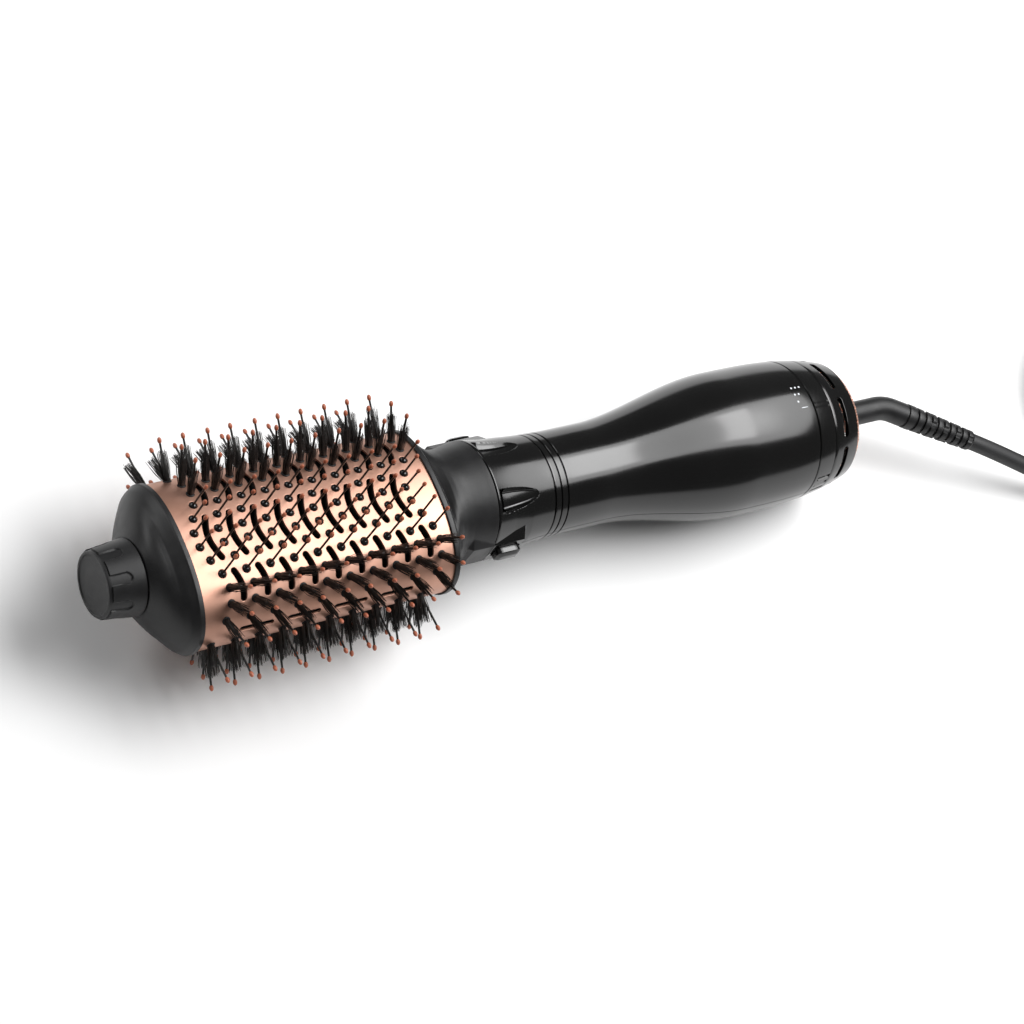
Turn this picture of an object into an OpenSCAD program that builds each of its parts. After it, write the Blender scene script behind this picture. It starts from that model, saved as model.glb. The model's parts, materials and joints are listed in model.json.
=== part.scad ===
// Hot air brush: an oval rotating-airflow brush head that pulls off a turned handle
// with a switch ring, a rear air intake and a swivel cord.
// The brush lies on a table on its wide face; x runs along it towards the cord.

/* [Brush head] */
// Half width of the oval barrel
barrel_a = 31.5; // [28:0.5:36]
// Half height of the oval barrel
barrel_b = 19.8; // [17:0.2:24]
// Length of the barrel
barrel_len = 104; // [96:1:104]
// Height of the face pins above the barrel
pin_h = 13.5; // [10:0.5:16]
// Height of the bristle tufts above the barrel
tuft_h = 11; // [8:0.5:12]
// Distance between pin columns
col_pitch = 9.7; // [9.4:0.1:9.8]

/* [Handle] */
// Radius of the handle at the seam to the head
seam_r = 23.4; // [22.8:0.1:24]
// Radius of the handle's waist
waist_r = 19.6; // [19.4:0.1:20]
// Radius of the handle's belly
belly_r = 28.5; // [28.3:0.1:29]
// Wall thickness of the rear cap
cap_wall = 1.8; // [1.4:0.1:2]

/* [Controls] */
// Travel of a release button
button_travel = 2; // [1.5:0.1:2]
// Turn of the switch ring from one mode to the next
mode_step = 6.2; // [5:0.1:6.5]

/* [Cord] */
// Diameter of the cord
cord_d = 7; // [6:0.5:7]
// Bend of the swivel elbow
elbow_bend = 30; // [25:1:35]
// Turn of the elbow below the horizontal
elbow_roll = 12; // [5:1:15]

/* [Hidden] */
$fn = 48;

section_n = 2.25;        // exponent of the oval: 2 is an ellipse, more is squarer
rim = 0.8;               // how far the end rims stand proud of the barrel
knob_x = -28.4;          // front face of the tip knob
cap_x = -14;             // front of the front cap
collar_x = 116;          // where the rear flange has become a round collar
seam_x = 126.2;          // seam from collar to handle
belly_x = 246;           // widest place of the handle
ring_x = 273;            // seam from handle to switch ring
ring_end = 281.6;        // seam from switch ring to rear cap
tail_x = 295.4;          // rear edge of the rear cap
hub_end = 303;           // rear face of the cord hub
bore_r = 18.35;          // bore of the collar
sleeve_r = 18;           // outside of the coupling sleeve
neck_r = 24;             // neck that the switch ring turns on
belly_in = 25.2;         // inside radius of the belly
shaft_r = 1.5;           // motor shaft
elbow_r = 4.8;           // swivel elbow
bend_x = 327;            // centre of the elbow's bend
relief_at = 9.5;         // start of the strain relief after the bend's centre
relief_len = 32;         // length of the strain relief
tab_r = 24.4;            // outer radius that the switch ring's driving tab swings at
button_foot = sleeve_r + button_travel + 1.4; // a button's foot, clear of the sleeve when pressed

// rows of a quarter of the oval: parameter angle, and place counted in rows from the top
face_rows = [[86.3, 0.5], [77.1, 1.5], [66.8, 2.5]];
edge_rows = [[55.4, 3.5], [42.7, 4.5], [28.7, 5.5]];
edge_row = [0, 7.5];
columns = 10;
col_x = 8.4;             // mean place of the first column
wave = 3.4;              // each column waves forwards and backwards by this much
wave_rows = 7.5;         // rows in one wave, a quarter of the way round
row_gap = 5.55;          // distance between rows along the barrel's surface

// the brush leans back a little, because its pins reach lower than its belly does
rest_x = col_x + wave + (columns - 1) * col_pitch;
lean = atan((barrel_b + pin_h - belly_r) / (belly_x - rest_x));
lift = rest_x * sin(lean) + (barrel_b + pin_h) * cos(lean);
mid_x = ((knob_x * cos(lean) - 12 * sin(lean)) + (hub_end * cos(lean) + 8.5 * sin(lean))) / 2;

black = [0.05, 0.05, 0.055];
soft_black = [0.12, 0.12, 0.125];
rose = [0.82, 0.62, 0.54];
copper = [0.75, 0.36, 0.24];
steel = [0.75, 0.75, 0.77];

// the brush's own frame, axis along x, laid on the table
module lie() {
    translate([-mid_x, 0, lift]) rotate([0, lean, 0]) children();
}

// turns an outline of [radius, x] points round the brush's axis
module turned(points, facets = 96) {
    rotate([0, 90, 0]) rotate_extrude($fn = facets) polygon(points);
}

// a rod along x from x0 to x1
module rod(x0, x1, r, facets = 48) {
    translate([x0, 0, 0]) rotate([0, 90, 0]) cylinder(h = x1 - x0, r = r, $fn = facets);
}

// a tube along x from x0 to x1
module tube(x0, x1, outer, inner, facets = 96) {
    turned([[inner, x0], [outer, x0], [outer, x1], [inner, x1]], facets);
}

// a point on the oval at parameter angle t, grown outwards by g
function power(v, e) = sign(v) * pow(abs(v), e);
function oval(t, g = 0) = [
    (barrel_a + g) * power(cos(t), 2 / section_n),
    (barrel_b + g) * power(sin(t), 2 / section_n)];
function oval_points(g, count = 96) = [for (i = [0:count - 1]) oval(360 * (i + 0.5) / count, g)];

// direction of the oval's outward normal at t, as an angle from y
function normal_angle(t) = atan2(
    power(sin(t), 2 * (section_n - 1) / section_n) / barrel_b,
    power(cos(t), 2 * (section_n - 1) / section_n) / barrel_a);

// x of the first column, a given count of rows away from the top
function wave_x(row) = col_x - wave * cos(360 * row / wave_rows);

// an oval tube along x
module oval_tube(x0, x1, g, wall) {
    translate([x0, 0, 0]) rotate([90, 0, 90]) linear_extrude(x1 - x0) difference() {
        polygon(oval_points(g));
        polygon(oval_points(g - wall));
    }
}

// closed skin over a closed loop of rings, each a list of the same count of points
module skin(rings) {
    m = len(rings);
    n = len(rings[0]);
    polyhedron([for (r = rings) for (p = r) p],
        [for (i = [0:m - 1]) for (j = [0:n - 1]) each let (
            a = i * n + j,
            b = i * n + (j + 1) % n,
            c = ((i + 1) % m) * n + (j + 1) % n,
            d = ((i + 1) % m) * n + j) [[a, b, c], [a, c, d]]]);
}

// a tube with closed ends swept along points
function unit(v) = v / norm(v);
function heading(p, i) = unit(p[min(i + 1, len(p) - 1)] - p[max(i - 1, 0)]);
function side(d) = unit(cross(d, abs(d[2]) > 0.9 ? [1, 0, 0] : [0, 0, 1]));
module sweep(path, r, sides = 10) {
    m = len(path);
    points = [for (i = [0:m - 1]) let (d = heading(path, i), s = side(d), u = cross(s, d))
        for (j = [0:sides - 1]) path[i] + r * (cos(360 * j / sides) * s + sin(360 * j / sides) * u)];
    polyhedron(points, concat(
        [[for (j = [0:sides - 1]) j]],
        [for (i = [0:m - 2]) for (j = [0:sides - 1]) each let (
            a = i * sides + j,
            b = i * sides + (j + 1) % sides) [[a, b + sides, b], [a, a + sides, b + sides]]],
        [[for (j = [sides - 1:-1:0]) (m - 1) * sides + j]]));
}

// ---- brush head ----

// air slots that follow the wave between two columns, seen from above
module face_slots(x, y0, y1) {
    steps = 6;
    for (k = [0:steps - 1]) {
        ya = y0 + (y1 - y0) * k / steps;
        yb = y0 + (y1 - y0) * (k + 1) / steps;
        xa = x - wave * cos(360 * ya / row_gap / wave_rows);
        xb = x - wave * cos(360 * yb / row_gap / wave_rows);
        polygon([[xa - 1.25, ya], [xa + 1.25, ya], [xb + 1.25, yb], [xb - 1.25, yb]]);
    }
}

module slot_cutters() {
    for (i = [0:columns - 2]) {
        x = col_x + (i + 0.5) * col_pitch;
        translate([0, 0, -40]) linear_extrude(80) union() {
            face_slots(x, -9.2, 9.2);
            face_slots(x, 12.4, 23.8);
            face_slots(x, -23.8, -12.4);
        }
    }
    for (i = [0:3], z = [-7, 4.7])
        translate([14.6 + i * 2 * col_pitch, -40, z]) cube([14.2, 80, 2.3]);
}

module tip_knob() color(soft_black) difference() {
    union() {
        turned([[0, knob_x + 0.5], [10.4, knob_x + 0.5], [10.8, knob_x], [11.6, knob_x + 0.3],
            [12.1, knob_x + 1.2], [13.5, cap_x - 1.6], [14.2, cap_x - 1.4], [14.2, cap_x],
            [0, cap_x]]);
        rod(cap_x, cap_x + 8, 9);
    }
    for (i = [0:7]) rotate([45 * i + 22.5, 0, 0]) translate([knob_x + 2, 0, 13.9]) {
        translate([-3, -1.4, 0]) cube([10, 2.8, 4]);
        rotate([0, 4, 0]) translate([0, 0, -1.2]) cube([8, 2.8, 2]);
    }
}

// oval ring at x, blended from a circle (share 0) to the oval (share 1)
function loft_ring(x, r, g, share) = [for (i = [0:71]) let (t = 5 * (i + 0.5))
    [x, (1 - share) * r * cos(t) + share * oval(t, g)[0],
        (1 - share) * r * sin(t) + share * oval(t, g)[1]]];

module front_cap() color(soft_black) skin([
    loft_ring(cap_x, 9.05, 0, 0),
    loft_ring(cap_x + 3, 9.05, 0, 0),
    loft_ring(cap_x + 6, 9.05, 0, 0),
    loft_ring(-3, 18, -3.4, 0.8),
    loft_ring(0, 20, -2.4, 1),
    loft_ring(0, 20, rim, 1),
    loft_ring(-2, 20, rim, 1),
    loft_ring(-4.6, 19, rim - 0.9, 0.97),
    loft_ring(-6.5, 18, rim - 2, 0.86),
    loft_ring(-8.5, 16.8, 0, 0.64),
    loft_ring(-10.5, 15.8, 0, 0.4),
    loft_ring(-12.5, 15, 0, 0.16),
    loft_ring(cap_x, 14.6, 0, 0)]);

module barrel() color(rose) difference() {
    oval_tube(0, barrel_len, 0, 1.2);
    slot_cutters();
}

module bristle_sleeve() color(black) difference() {
    oval_tube(1, barrel_len - 1, -1.35, 1.4);
    slot_cutters();
}

// inner duct that spreads the hot air along the barrel
module air_guide() color(soft_black) difference() {
    oval_tube(1.5, barrel_len - 0.5, -5.5, 1.2);
    for (i = [0:columns - 2], y = [-15, 0, 15])
        translate([col_x + i * col_pitch, y, -40]) cylinder(h = 80, r = 2.2, $fn = 24);
}

// places a pin or tuft, made along z from the barrel's surface
module stand(x, t, turn) {
    p = oval(t);
    translate([x, p[0], p[1]]) rotate([turn - 90, 0, 0]) children();
}

module ball_pin(h, root = 0.9) {
    translate([0, 0, -root]) cylinder(h = h - 1.9 + root, r = 0.6, $fn = 16);
    translate([0, 0, h - 2.4]) cylinder(h = 1.3, r1 = 0.6, r2 = 1.2, $fn = 16);
    translate([0, 0, h - 1.1]) cylinder(h = 1.1, r1 = 1.2, r2 = 0.5, $fn = 16);
}

// pins of a wide face stand nearly straight up
module face_pins(flip) {
    for (r = face_rows, t = [r[0], 180 - r[0]], i = [0:columns - 1])
        rotate([flip, 0, 0]) stand(wave_x(r[1]) + i * col_pitch, t, 90)
            ball_pin(pin_h + barrel_b - oval(t)[1]);
}

module face_pins_top() color(copper) face_pins(0);
module face_pins_bottom() color(copper) face_pins(180);

// places what stands on a narrow edge, row by row
module on_edge(flip) {
    for (r = edge_rows, t = [r[0], -r[0]], i = [0:columns - 1])
        rotate([flip, 0, 0]) stand(wave_x(r[1]) + i * col_pitch, t, normal_angle(t)) children();
    for (i = [0:columns - 1])
        rotate([flip, 0, 0]) stand(wave_x(edge_row[1]) + i * col_pitch, 0, 0) children();
}

module tufts(flip) {
    on_edge(flip) translate([0, 0, -0.9]) cylinder(h = tuft_h + 0.9, r1 = 1.3, r2 = 1.9, $fn = 16);
}

// one long pin leans out of each tuft
module tuft_pins(flip) {
    on_edge(flip) translate([0, 0, tuft_h + 0.02]) ball_pin(5, 0);
}

module edge_tufts_left() color(black) tufts(0);
module edge_tufts_right() color(black) tufts(180);
module edge_pins_left() color(copper) tuft_pins(0);
module edge_pins_right() color(copper) tuft_pins(180);

// radius of the collar, with a low ramp at each side that leads to a release button
function ramp(t, h) = h * max(0, min(1, (24 - min(abs(t), abs(180 - t), abs(360 - t))) / 5));
function collar_ring(x, r, h) = [for (i = [0:71]) let (t = 5 * (i + 0.5), q = r + ramp(t, h))
    [x, q * cos(t), q * sin(t)]];

module rear_flange() color(soft_black) skin([
    loft_ring(barrel_len, 20, -2.6, 1),
    loft_ring(barrel_len, 20, rim, 1),
    loft_ring(barrel_len + 2, 20, rim, 1),
    loft_ring(barrel_len + 3.4, 21, rim - 1.4, 0.94),
    loft_ring(barrel_len + 5.2, 21.4, rim, 0.6),
    loft_ring(barrel_len + 7.4, 21.8, 0, 0.3),
    loft_ring(barrel_len + 9.8, 22.2, 0, 0.08),
    collar_ring(collar_x, 22.5, 0),
    collar_ring(collar_x + 3, 22.8, 1),
    collar_ring(seam_x - 0.2, seam_r, 1.1),
    loft_ring(seam_x - 0.2, bore_r, 0, 0),
    loft_ring(barrel_len + 12, bore_r, 0, 0),
    loft_ring(barrel_len + 4, bore_r, 0, 0)]);

// ---- handle ----

// outside of the handle: falls to the waist, swells to the belly, closes to the cap
function smooth(t) = t * t * (3 - 2 * t);
function clip(t) = max(0, min(1, t));
function outside(x) = x < 175 ? waist_r + (seam_r - waist_r) * pow(1 - clip((x - seam_x) / 42), 2)
    : x < belly_x ? waist_r + (belly_r - waist_r) * smooth(clip((x - 181) / 62))
    : belly_r - 5 * pow((x - belly_x) / (tail_x - belly_x), 3);
function outline(x0, x1, step) = [for (i = [0:ceil((x1 - x0) / step)])
    let (x = min(x0 + i * step, x1)) [outside(x), x]];

// scooped finger recess, a bullet with its blunt end at the seam
module scoop(grow) {
    translate([127.6, 0, 22.6]) rotate([0, 4.5, 0]) rotate([0, 90, 0]) rotate_extrude($fn = 48)
        polygon(concat([[0, -grow]], [for (i = [0:6]) [(4.2 + grow) * cos(15 * i),
            (17 + grow) * sin(15 * i) - (i == 0 ? grow : 0)]]));
}

// raised pad round a release button
module pad() {
    intersection() {
        rotate([0, 90, 0]) translate([0, 0, seam_x]) cylinder(h = 18, r1 = seam_r + 1.1, r2 = 20);
        translate([seam_x, 10, -9]) cube([17, 20, 18]);
    }
}

module button_window() {
    translate([127.7, 10, -3.9]) cube([12.6, 20, 7.8]);
}

module shell_body() {
    difference() {
        union() {
            turned(concat(outline(seam_x, ring_x, 3), [[neck_r, ring_x], [neck_r, 285],
                [21.8, 285], [21.8, 269], [belly_in, 266], [belly_in, 236], [17.4, 188],
                [17.4, 147.6], [18.05, 147.6], [18.05, seam_x]]));
            difference() {
                union() {
                    pad();
                    mirror([0, 1, 0]) pad();
                }
                rod(seam_x - 1, 160, 18.05);
            }
        }
        for (i = [0:2]) tube(153.1 + 3 * i, 153.8 + 3 * i, 25, outside(153.4 + 3 * i) - 0.6);
        for (a = [30, -30, 150, -150]) rotate([a, 0, 0]) scoop(0);
        button_window();
        mirror([0, 1, 0]) button_window();
    }
}

module half(top) {
    intersection() {
        shell_body();
        translate([seam_x - 5, -40, top ? 0 : -60]) cube([200, 80, 60]);
    }
}

// slot in the neck that the switch ring's driving tab moves in
module tab_slot() {
    swing = 2 * tab_r * sin(3 * mode_step / 2);
    rotate([-12, 0, 0]) translate([276, -2, 18.5]) cube([3.4, 6.6 + swing, 7.5]);
}

module upper_shell() color(black) difference() {
    half(true);
    tab_slot();
}

module lower_shell() color(black) difference() {
    half(false);
    for (x = [168, 228]) translate([x, 0, -40]) cylinder(h = 60, r = 1.3);
    translate([168, 0, -40]) cylinder(h = 40 - waist_r + 1.2, r = 2.6);
    translate([228, 0, -40]) cylinder(h = 40 - outside(228) + 1.4, r = 2.6);
}

module shell_screws() color(steel) for (x = [168, 228]) {
    translate([x, 0, -outside(x) + 0.5]) cylinder(h = 0.6, r = 2.4);
    translate([x, 0, -outside(x) + 0.5]) cylinder(h = 1.7, r = 1.2);
}

module coupling_sleeve() color(black) tube(108, 147.5, sleeve_r, 15.8);
module heat_shield() color(steel) tube(147.6, 216, 16.9, 16.4);

module mica_boards() color([0.78, 0.70, 0.55]) union() {
    translate([155, -10.4, -0.4]) cube([61, 20.8, 0.8]);
    translate([155, -0.4, -10.4]) cube([48, 0.8, 20.8]);
    translate([214, -16.3, -0.4]) cube([2, 32.6, 0.8]);
}

module heater_coil() color(steel) sweep(
    [for (i = [0:63]) [158 + 40 * i / 63, 12 * cos(360 * i / 9), 12 * sin(360 * i / 9)]], 0.55, 6);

module thermostat() color(steel) union() {
    translate([206, -4, 0.4]) cube([7, 8, 3.2]);
    translate([209.5, 0, 3.6]) cylinder(h = 1.2, r = 2.6);
}

module thermal_fuse() color([0.8, 0.6, 0.3]) translate([204, 6, -2.4]) rotate([0, 90, 0])
    cylinder(h = 9, r = 2, $fn = 32);

module motor() color(steel) turned([[shaft_r + 0.9, 222], [13.5, 222], [13.5, 250], [5, 250],
    [5, 251.6], [shaft_r + 0.05, 251.6], [shaft_r + 0.05, 240], [shaft_r + 0.9, 240]]);

module motor_mount() color(black) union() {
    tube(238, 246, 25.15, 23.9);
    tube(239, 245, 15, 13.55);
    for (i = [0:3]) rotate([90 * i + 45, 0, 0]) translate([239.5, -1, 14.6]) cube([5, 2, 9.8]);
}

module motor_shaft() color(steel) rod(241, 266, shaft_r);

module impeller() color(soft_black) union() {
    tube(254, 265, 8, shaft_r);
    for (i = [0:6]) rotate([360 / 7 * i, 0, 0]) translate([259.5, 0, 7.4])
        rotate([0, 0, 38]) translate([-5.4, -0.6, 0]) cube([10.8, 1.2, 14.6]);
}

module circuit_board() color([0.15, 0.4, 0.25]) translate([222, -10, -19]) cube([15, 20, 1.4]);
module rectifier() color(black) for (i = [0:3]) translate([225, -7.2 + 4.8 * i, -16.2])
    rotate([0, 90, 0]) cylinder(h = 8, r = 1.4, $fn = 24);
module mode_switch() color(black) translate([270, -4, 13.6]) cube([12, 8.6, 4.6]);

module inner_leads() color([0.6, 0.1, 0.1]) union() {
    for (s = [-1, 1]) sweep([[217, s * 9, -3], [222, s * 15, -4], [232, s * 18, -5],
        [247, s * 18, -5]], 1, 8);
}

module switch_ring() color(black) union() {
    difference() {
        turned(concat([[neck_r + 0.1, ring_x + 0.2]], outline(ring_x + 0.2, ring_end - 0.1, 2.1),
            [[neck_r + 0.1, ring_end - 0.1]]));
        for (i = [0:2]) rotate([75 + 8 * i, 0, 0]) translate([274.5, -0.6, 26.4])
            cube([6, 1.2, 3]);
    }
    rotate([-12, 0, 0]) translate([276.3, -1.2, 19.2]) cube([2.6, 3, tab_r - 19.2]);
}

module vent() {
    rotate([0, 90, 0]) translate([0, 0, 286.3]) rotate([0, 0, -18]) rotate_extrude(angle = 36)
        translate([18, 0]) square([14, 2.6]);
}

module rear_cap() color(black) difference() {
    turned(concat(outline(ring_end, tail_x - 1.2, 2.2), [[23.2, tail_x], [22, tail_x],
        [20.6, tail_x - 0.8], [20.6, tail_x - 1.6], [22.2, tail_x - 1.8],
        [neck_r + 1.6 - cap_wall, 289], [neck_r + 0.1, 285.2], [neck_r + 0.1, ring_end]]));
    for (i = [0:7]) rotate([22.5 + 45 * i, 0, 0]) vent();
}

module filter_mesh() color(rose) turned([[8.6, 299.2], [12, 298.9], [16, 298], [19, 296.6],
    [20.5, 295.2], [20.5, 294.4], [19, 295.8], [16, 297.2], [12, 298.1], [8.6, 298.4]]);

module filter_ring() color(black) union() {
    tube(292.6, 293.6, 20.4, 18.6);
    tube(292.6, 293.6, 10.2, 8.6);
    for (i = [0:3]) rotate([90 * i, 0, 0]) translate([292.6, -1, 9.8]) cube([1, 2, 9.2]);
}

module cord_hub() color(soft_black) turned([[elbow_r + 0.07, 291], [8.5, 291], [8.5, 300],
    [7.6, hub_end], [elbow_r + 0.07, hub_end]]);

// ---- release buttons, mirrored to both sides ----

module release_button() color(black) {
    difference() {
        union() {
            translate([128.2, 23.4, -3.4]) cube([11.6, 2.8, 6.8]);
            translate([130, 26, -2.2]) cube([8, 1.2, 4.4]);
            translate([129, button_foot, -3]) cube([10, 23.6 - button_foot, 6]);
        }
        translate([134, 20, 0]) rotate([-90, 0, 0]) cylinder(h = 2.6, r = 1.9);
    }
}

module button_spring() color(steel) translate([134, sleeve_r + 0.1, 0]) rotate([-90, 0, 0])
    difference() {
        cylinder(h = button_foot - sleeve_r - 0.2, r = 1.6);
        translate([0, 0, -1]) cylinder(h = 6, r = 1.1);
    }

module release_button_left() release_button();
module release_button_right() mirror([0, 1, 0]) release_button();
module button_spring_left() button_spring();
module button_spring_right() mirror([0, 1, 0]) button_spring();

// ---- swivel cord exit ----

bend_radius = 16;
bend_start = bend_x - bend_radius * tan(elbow_bend / 2);

// carries its children from the brush's axis round the elbow's bend
module beyond_bend() {
    translate([bend_start, 0, 0]) rotate([elbow_roll, 0, 0]) translate([0, -bend_radius, 0])
        rotate([0, 0, -elbow_bend]) translate([0, bend_radius, 0]) children();
}

relief_x = relief_at - bend_radius * tan(elbow_bend / 2);

module cord_elbow() color(soft_black) union() {
    rod(287, 290.8, 7);
    rod(290, bend_start + 0.2, elbow_r);
    translate([bend_start, 0, 0]) rotate([elbow_roll, 0, 0]) translate([0, -bend_radius, 0])
        rotate([0, 0, 90 - elbow_bend]) rotate_extrude(angle = elbow_bend)
            translate([bend_radius, 0]) circle(r = elbow_r);
    beyond_bend() rod(-0.2, relief_x, elbow_r);
}

module strain_relief() color(soft_black) beyond_bend() turned(concat(
    [[0, relief_x], [4.9, relief_x], [4.9, relief_x + 4]],
    [for (i = [0:5]) each let (x = relief_x + 4 + 4.5 * i, r = 4.9 - 0.16 * i)
        [[r - 1.1, x], [r - 1.1, x + 1.6], [r, x + 1.6], [r, x + 4.5]]],
    [[3.6, relief_x + relief_len], [0, relief_x + relief_len]]), 32);

// ---- the cord on the table ----

cord_r = cord_d / 2;
coil_at = [334, -21.5];
coil_in = 31.5;
coil_out = 52.5;
run_bend = [[225.5, -20.35, 20.35], [249.7, -34.1, 16.6], [280, -50.97, 3.5],
    [307.75, -66.97, 3.5]];
function glide(p, t) = pow(1 - t, 3) * p[0] + 3 * pow(1 - t, 2) * t * p[1]
    + 3 * (1 - t) * t * t * p[2] + pow(t, 3) * p[3];

// the tail climbs onto the coil, given as angle, radius and height, and then bends inwards
tail_climb = [[330, 50.75, 10.5], [345, 51.2, 10.9], [360, 51.5, 11.7], [375, 51.6, 12.7],
    [390, 51.6, 13.8], [405, 51.5, 15], [420, 51.2, 16.2], [435, 50.6, 17.2], [450, 50, 18.2],
    [465, 49.6, 18.9], [480, 49.3, 19.2], [500, 49, 19.2], [520, 49, 19.2], [540, 49, 19.2]];
tail_bend = 33;          // radius of the tail's last bend, centred this side of the coil's middle
tail_side = 16;
tail_rise = 2.4;
tail_points = concat(
    [for (p = tail_climb) [coil_at[0] + p[1] * cos(p[0]), coil_at[1] + p[1] * sin(p[0]), p[2]]],
    [for (i = [1:5]) [coil_at[0] - tail_side - tail_bend * cos(18 * i),
        coil_at[1] - tail_bend * sin(18 * i), 19.2 + tail_rise * smooth(i / 5)]]);
plug_at = tail_points[len(tail_points) - 1];
pin_gap = 19;            // distance between the plug's pins
plug_pin_r = 2.4;

module cord_run() color(soft_black) sweep([for (i = [0:12]) glide(run_bend, i / 12)], cord_r);
module cord_tail() color(soft_black) sweep(tail_points, cord_r);

module cord_coil() color(soft_black) translate([coil_at[0], coil_at[1], 0]) rotate_extrude()
    polygon([[coil_in - cord_r, 2], [coil_in - 1.5, 0], [coil_out + 1.5, 0],
        [coil_out + cord_r, 2], [coil_out + cord_r, 2 * cord_d - 2],
        [coil_out + 1.5, 2 * cord_d], [coil_in - 1.5, 2 * cord_d],
        [coil_in - cord_r, 2 * cord_d - 2]]);

module cord_tie() color(black) translate([coil_at[0], coil_at[1], 0]) rotate([0, 0, 120])
    translate([coil_in - 5.8, -5, 0]) difference() {
        cube([coil_out - coil_in + 11.2, 10, 15.3]);
        translate([1.2, -1, -1]) cube([coil_out - coil_in + 8.8, 12, 15.2]);
    }

module plug_frame() {
    translate(plug_at) children();
}

module plug_body() color(soft_black) plug_frame() union() {
    rotate([0, 90, 0]) cylinder(h = 20, r1 = 4.6, r2 = 6, $fn = 32);
    hull() {
        for (s = [-1, 1]) {
            translate([19, s * 4, 0]) rotate([0, 90, 0]) cylinder(h = 1, r = 6.5, $fn = 32);
            translate([36, s * 9.5, 0]) rotate([0, 90, 0]) cylinder(h = 14, r = 7.4, $fn = 32);
        }
    }
}

module plug_pins() color(steel) plug_frame() for (s = [-1, 1]) translate([50, s * pin_gap / 2, 0])
    rotate([0, 90, 0]) union() {
        cylinder(h = 18, r = plug_pin_r);
        translate([0, 0, 18]) cylinder(h = 1, r1 = plug_pin_r, r2 = 1.6);
    }

lie() tip_knob();
lie() front_cap();
lie() barrel();
lie() bristle_sleeve();
lie() air_guide();
lie() face_pins_top();
lie() face_pins_bottom();
lie() edge_tufts_left();
lie() edge_tufts_right();
lie() edge_pins_left();
lie() edge_pins_right();
lie() rear_flange();
lie() upper_shell();
lie() lower_shell();
lie() coupling_sleeve();
lie() heat_shield();
lie() mica_boards();
lie() heater_coil();
lie() thermostat();
lie() thermal_fuse();
lie() motor();
lie() motor_mount();
lie() motor_shaft();
lie() impeller();
lie() circuit_board();
lie() rectifier();
lie() mode_switch();
lie() switch_ring();
lie() rear_cap();
lie() filter_mesh();
lie() filter_ring();
lie() cord_hub();
lie() cord_elbow();
lie() strain_relief();
lie() release_button_left();
lie() release_button_right();
lie() button_spring_left();
lie() button_spring_right();
lie() shell_screws();
lie() inner_leads();
cord_run();
cord_coil();
cord_tail();
cord_tie();
plug_body();
plug_pins();
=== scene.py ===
import json
import math
import bpy
import bmesh
import numpy as np
from mathutils import Matrix, Vector
from mathutils.geometry import delaunay_2d_cdt


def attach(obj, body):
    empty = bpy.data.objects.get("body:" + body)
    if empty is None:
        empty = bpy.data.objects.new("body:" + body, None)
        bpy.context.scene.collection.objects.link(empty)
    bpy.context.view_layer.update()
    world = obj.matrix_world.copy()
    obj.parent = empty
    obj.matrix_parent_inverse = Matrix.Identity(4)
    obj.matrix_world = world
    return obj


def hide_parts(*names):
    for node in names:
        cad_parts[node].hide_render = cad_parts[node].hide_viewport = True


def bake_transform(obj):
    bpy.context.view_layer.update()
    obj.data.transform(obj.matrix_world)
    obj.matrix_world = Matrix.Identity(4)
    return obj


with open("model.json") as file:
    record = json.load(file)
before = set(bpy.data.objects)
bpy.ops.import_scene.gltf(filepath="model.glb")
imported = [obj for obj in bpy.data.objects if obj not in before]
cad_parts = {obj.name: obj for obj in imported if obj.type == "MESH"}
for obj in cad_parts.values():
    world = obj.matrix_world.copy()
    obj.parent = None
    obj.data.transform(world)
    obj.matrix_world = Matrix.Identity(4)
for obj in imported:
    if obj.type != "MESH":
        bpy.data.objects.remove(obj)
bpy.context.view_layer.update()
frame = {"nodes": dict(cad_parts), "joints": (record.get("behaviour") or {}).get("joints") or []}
rng = np.random.RandomState(11)

# The brush is drawn in millimetres along its own axis, x towards the cord, and then laid
# on the table the way the fan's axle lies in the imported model.
axle = next(j for j in frame["joints"] if j["name"] == "fan_spin")
axisOut = np.array(axle["axis"], float) / np.linalg.norm(axle["axis"])
axisSide = np.array([0.0, 1.0, 0.0])
axisUp = np.cross(axisOut, axisSide)
axleAt = np.array(axle["pos_m"], float) * 1000
brushOrigin = axleAt - 255 * axisOut


def lay(p):
    # brush millimetres to table millimetres: origin + x * out + y * side + z * up
    p = np.asarray(p, float)
    return brushOrigin + p[..., 0:1] * axisOut + p[..., 1:2] * axisSide + p[..., 2:3] * axisUp


# ---- camera ----
camera = {"at": (-544.4, -405.2, 1019.8), "aim": (110.05, -27.5, 49.35), "roll": -40.89,
          "lens": 122.28, "sensor": 36.0}


def makeCamera(c):
    at, aim = lay(c["at"]) / 1000, lay(c["aim"]) / 1000
    back = (at - aim) / np.linalg.norm(at - aim)
    up = axisUp - axisUp.dot(back) * back
    up /= np.linalg.norm(up)
    right = np.cross(up, back)
    a = math.radians(c["roll"])
    upTurned = up * math.cos(a) + right * math.sin(a)
    rightTurned = right * math.cos(a) - up * math.sin(a)
    data = bpy.data.cameras.new("camera")
    data.lens, data.sensor_width = c["lens"], c["sensor"]
    data.clip_start, data.clip_end = 0.05, 20
    cam = bpy.data.objects.new("camera", data)
    bpy.context.scene.collection.objects.link(cam)
    m = np.eye(4)
    m[:3, 0], m[:3, 1], m[:3, 2], m[:3, 3] = rightTurned, upTurned, back, at
    cam.matrix_world = Matrix(m.tolist())
    bpy.context.scene.camera = cam


makeCamera(camera)


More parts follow.
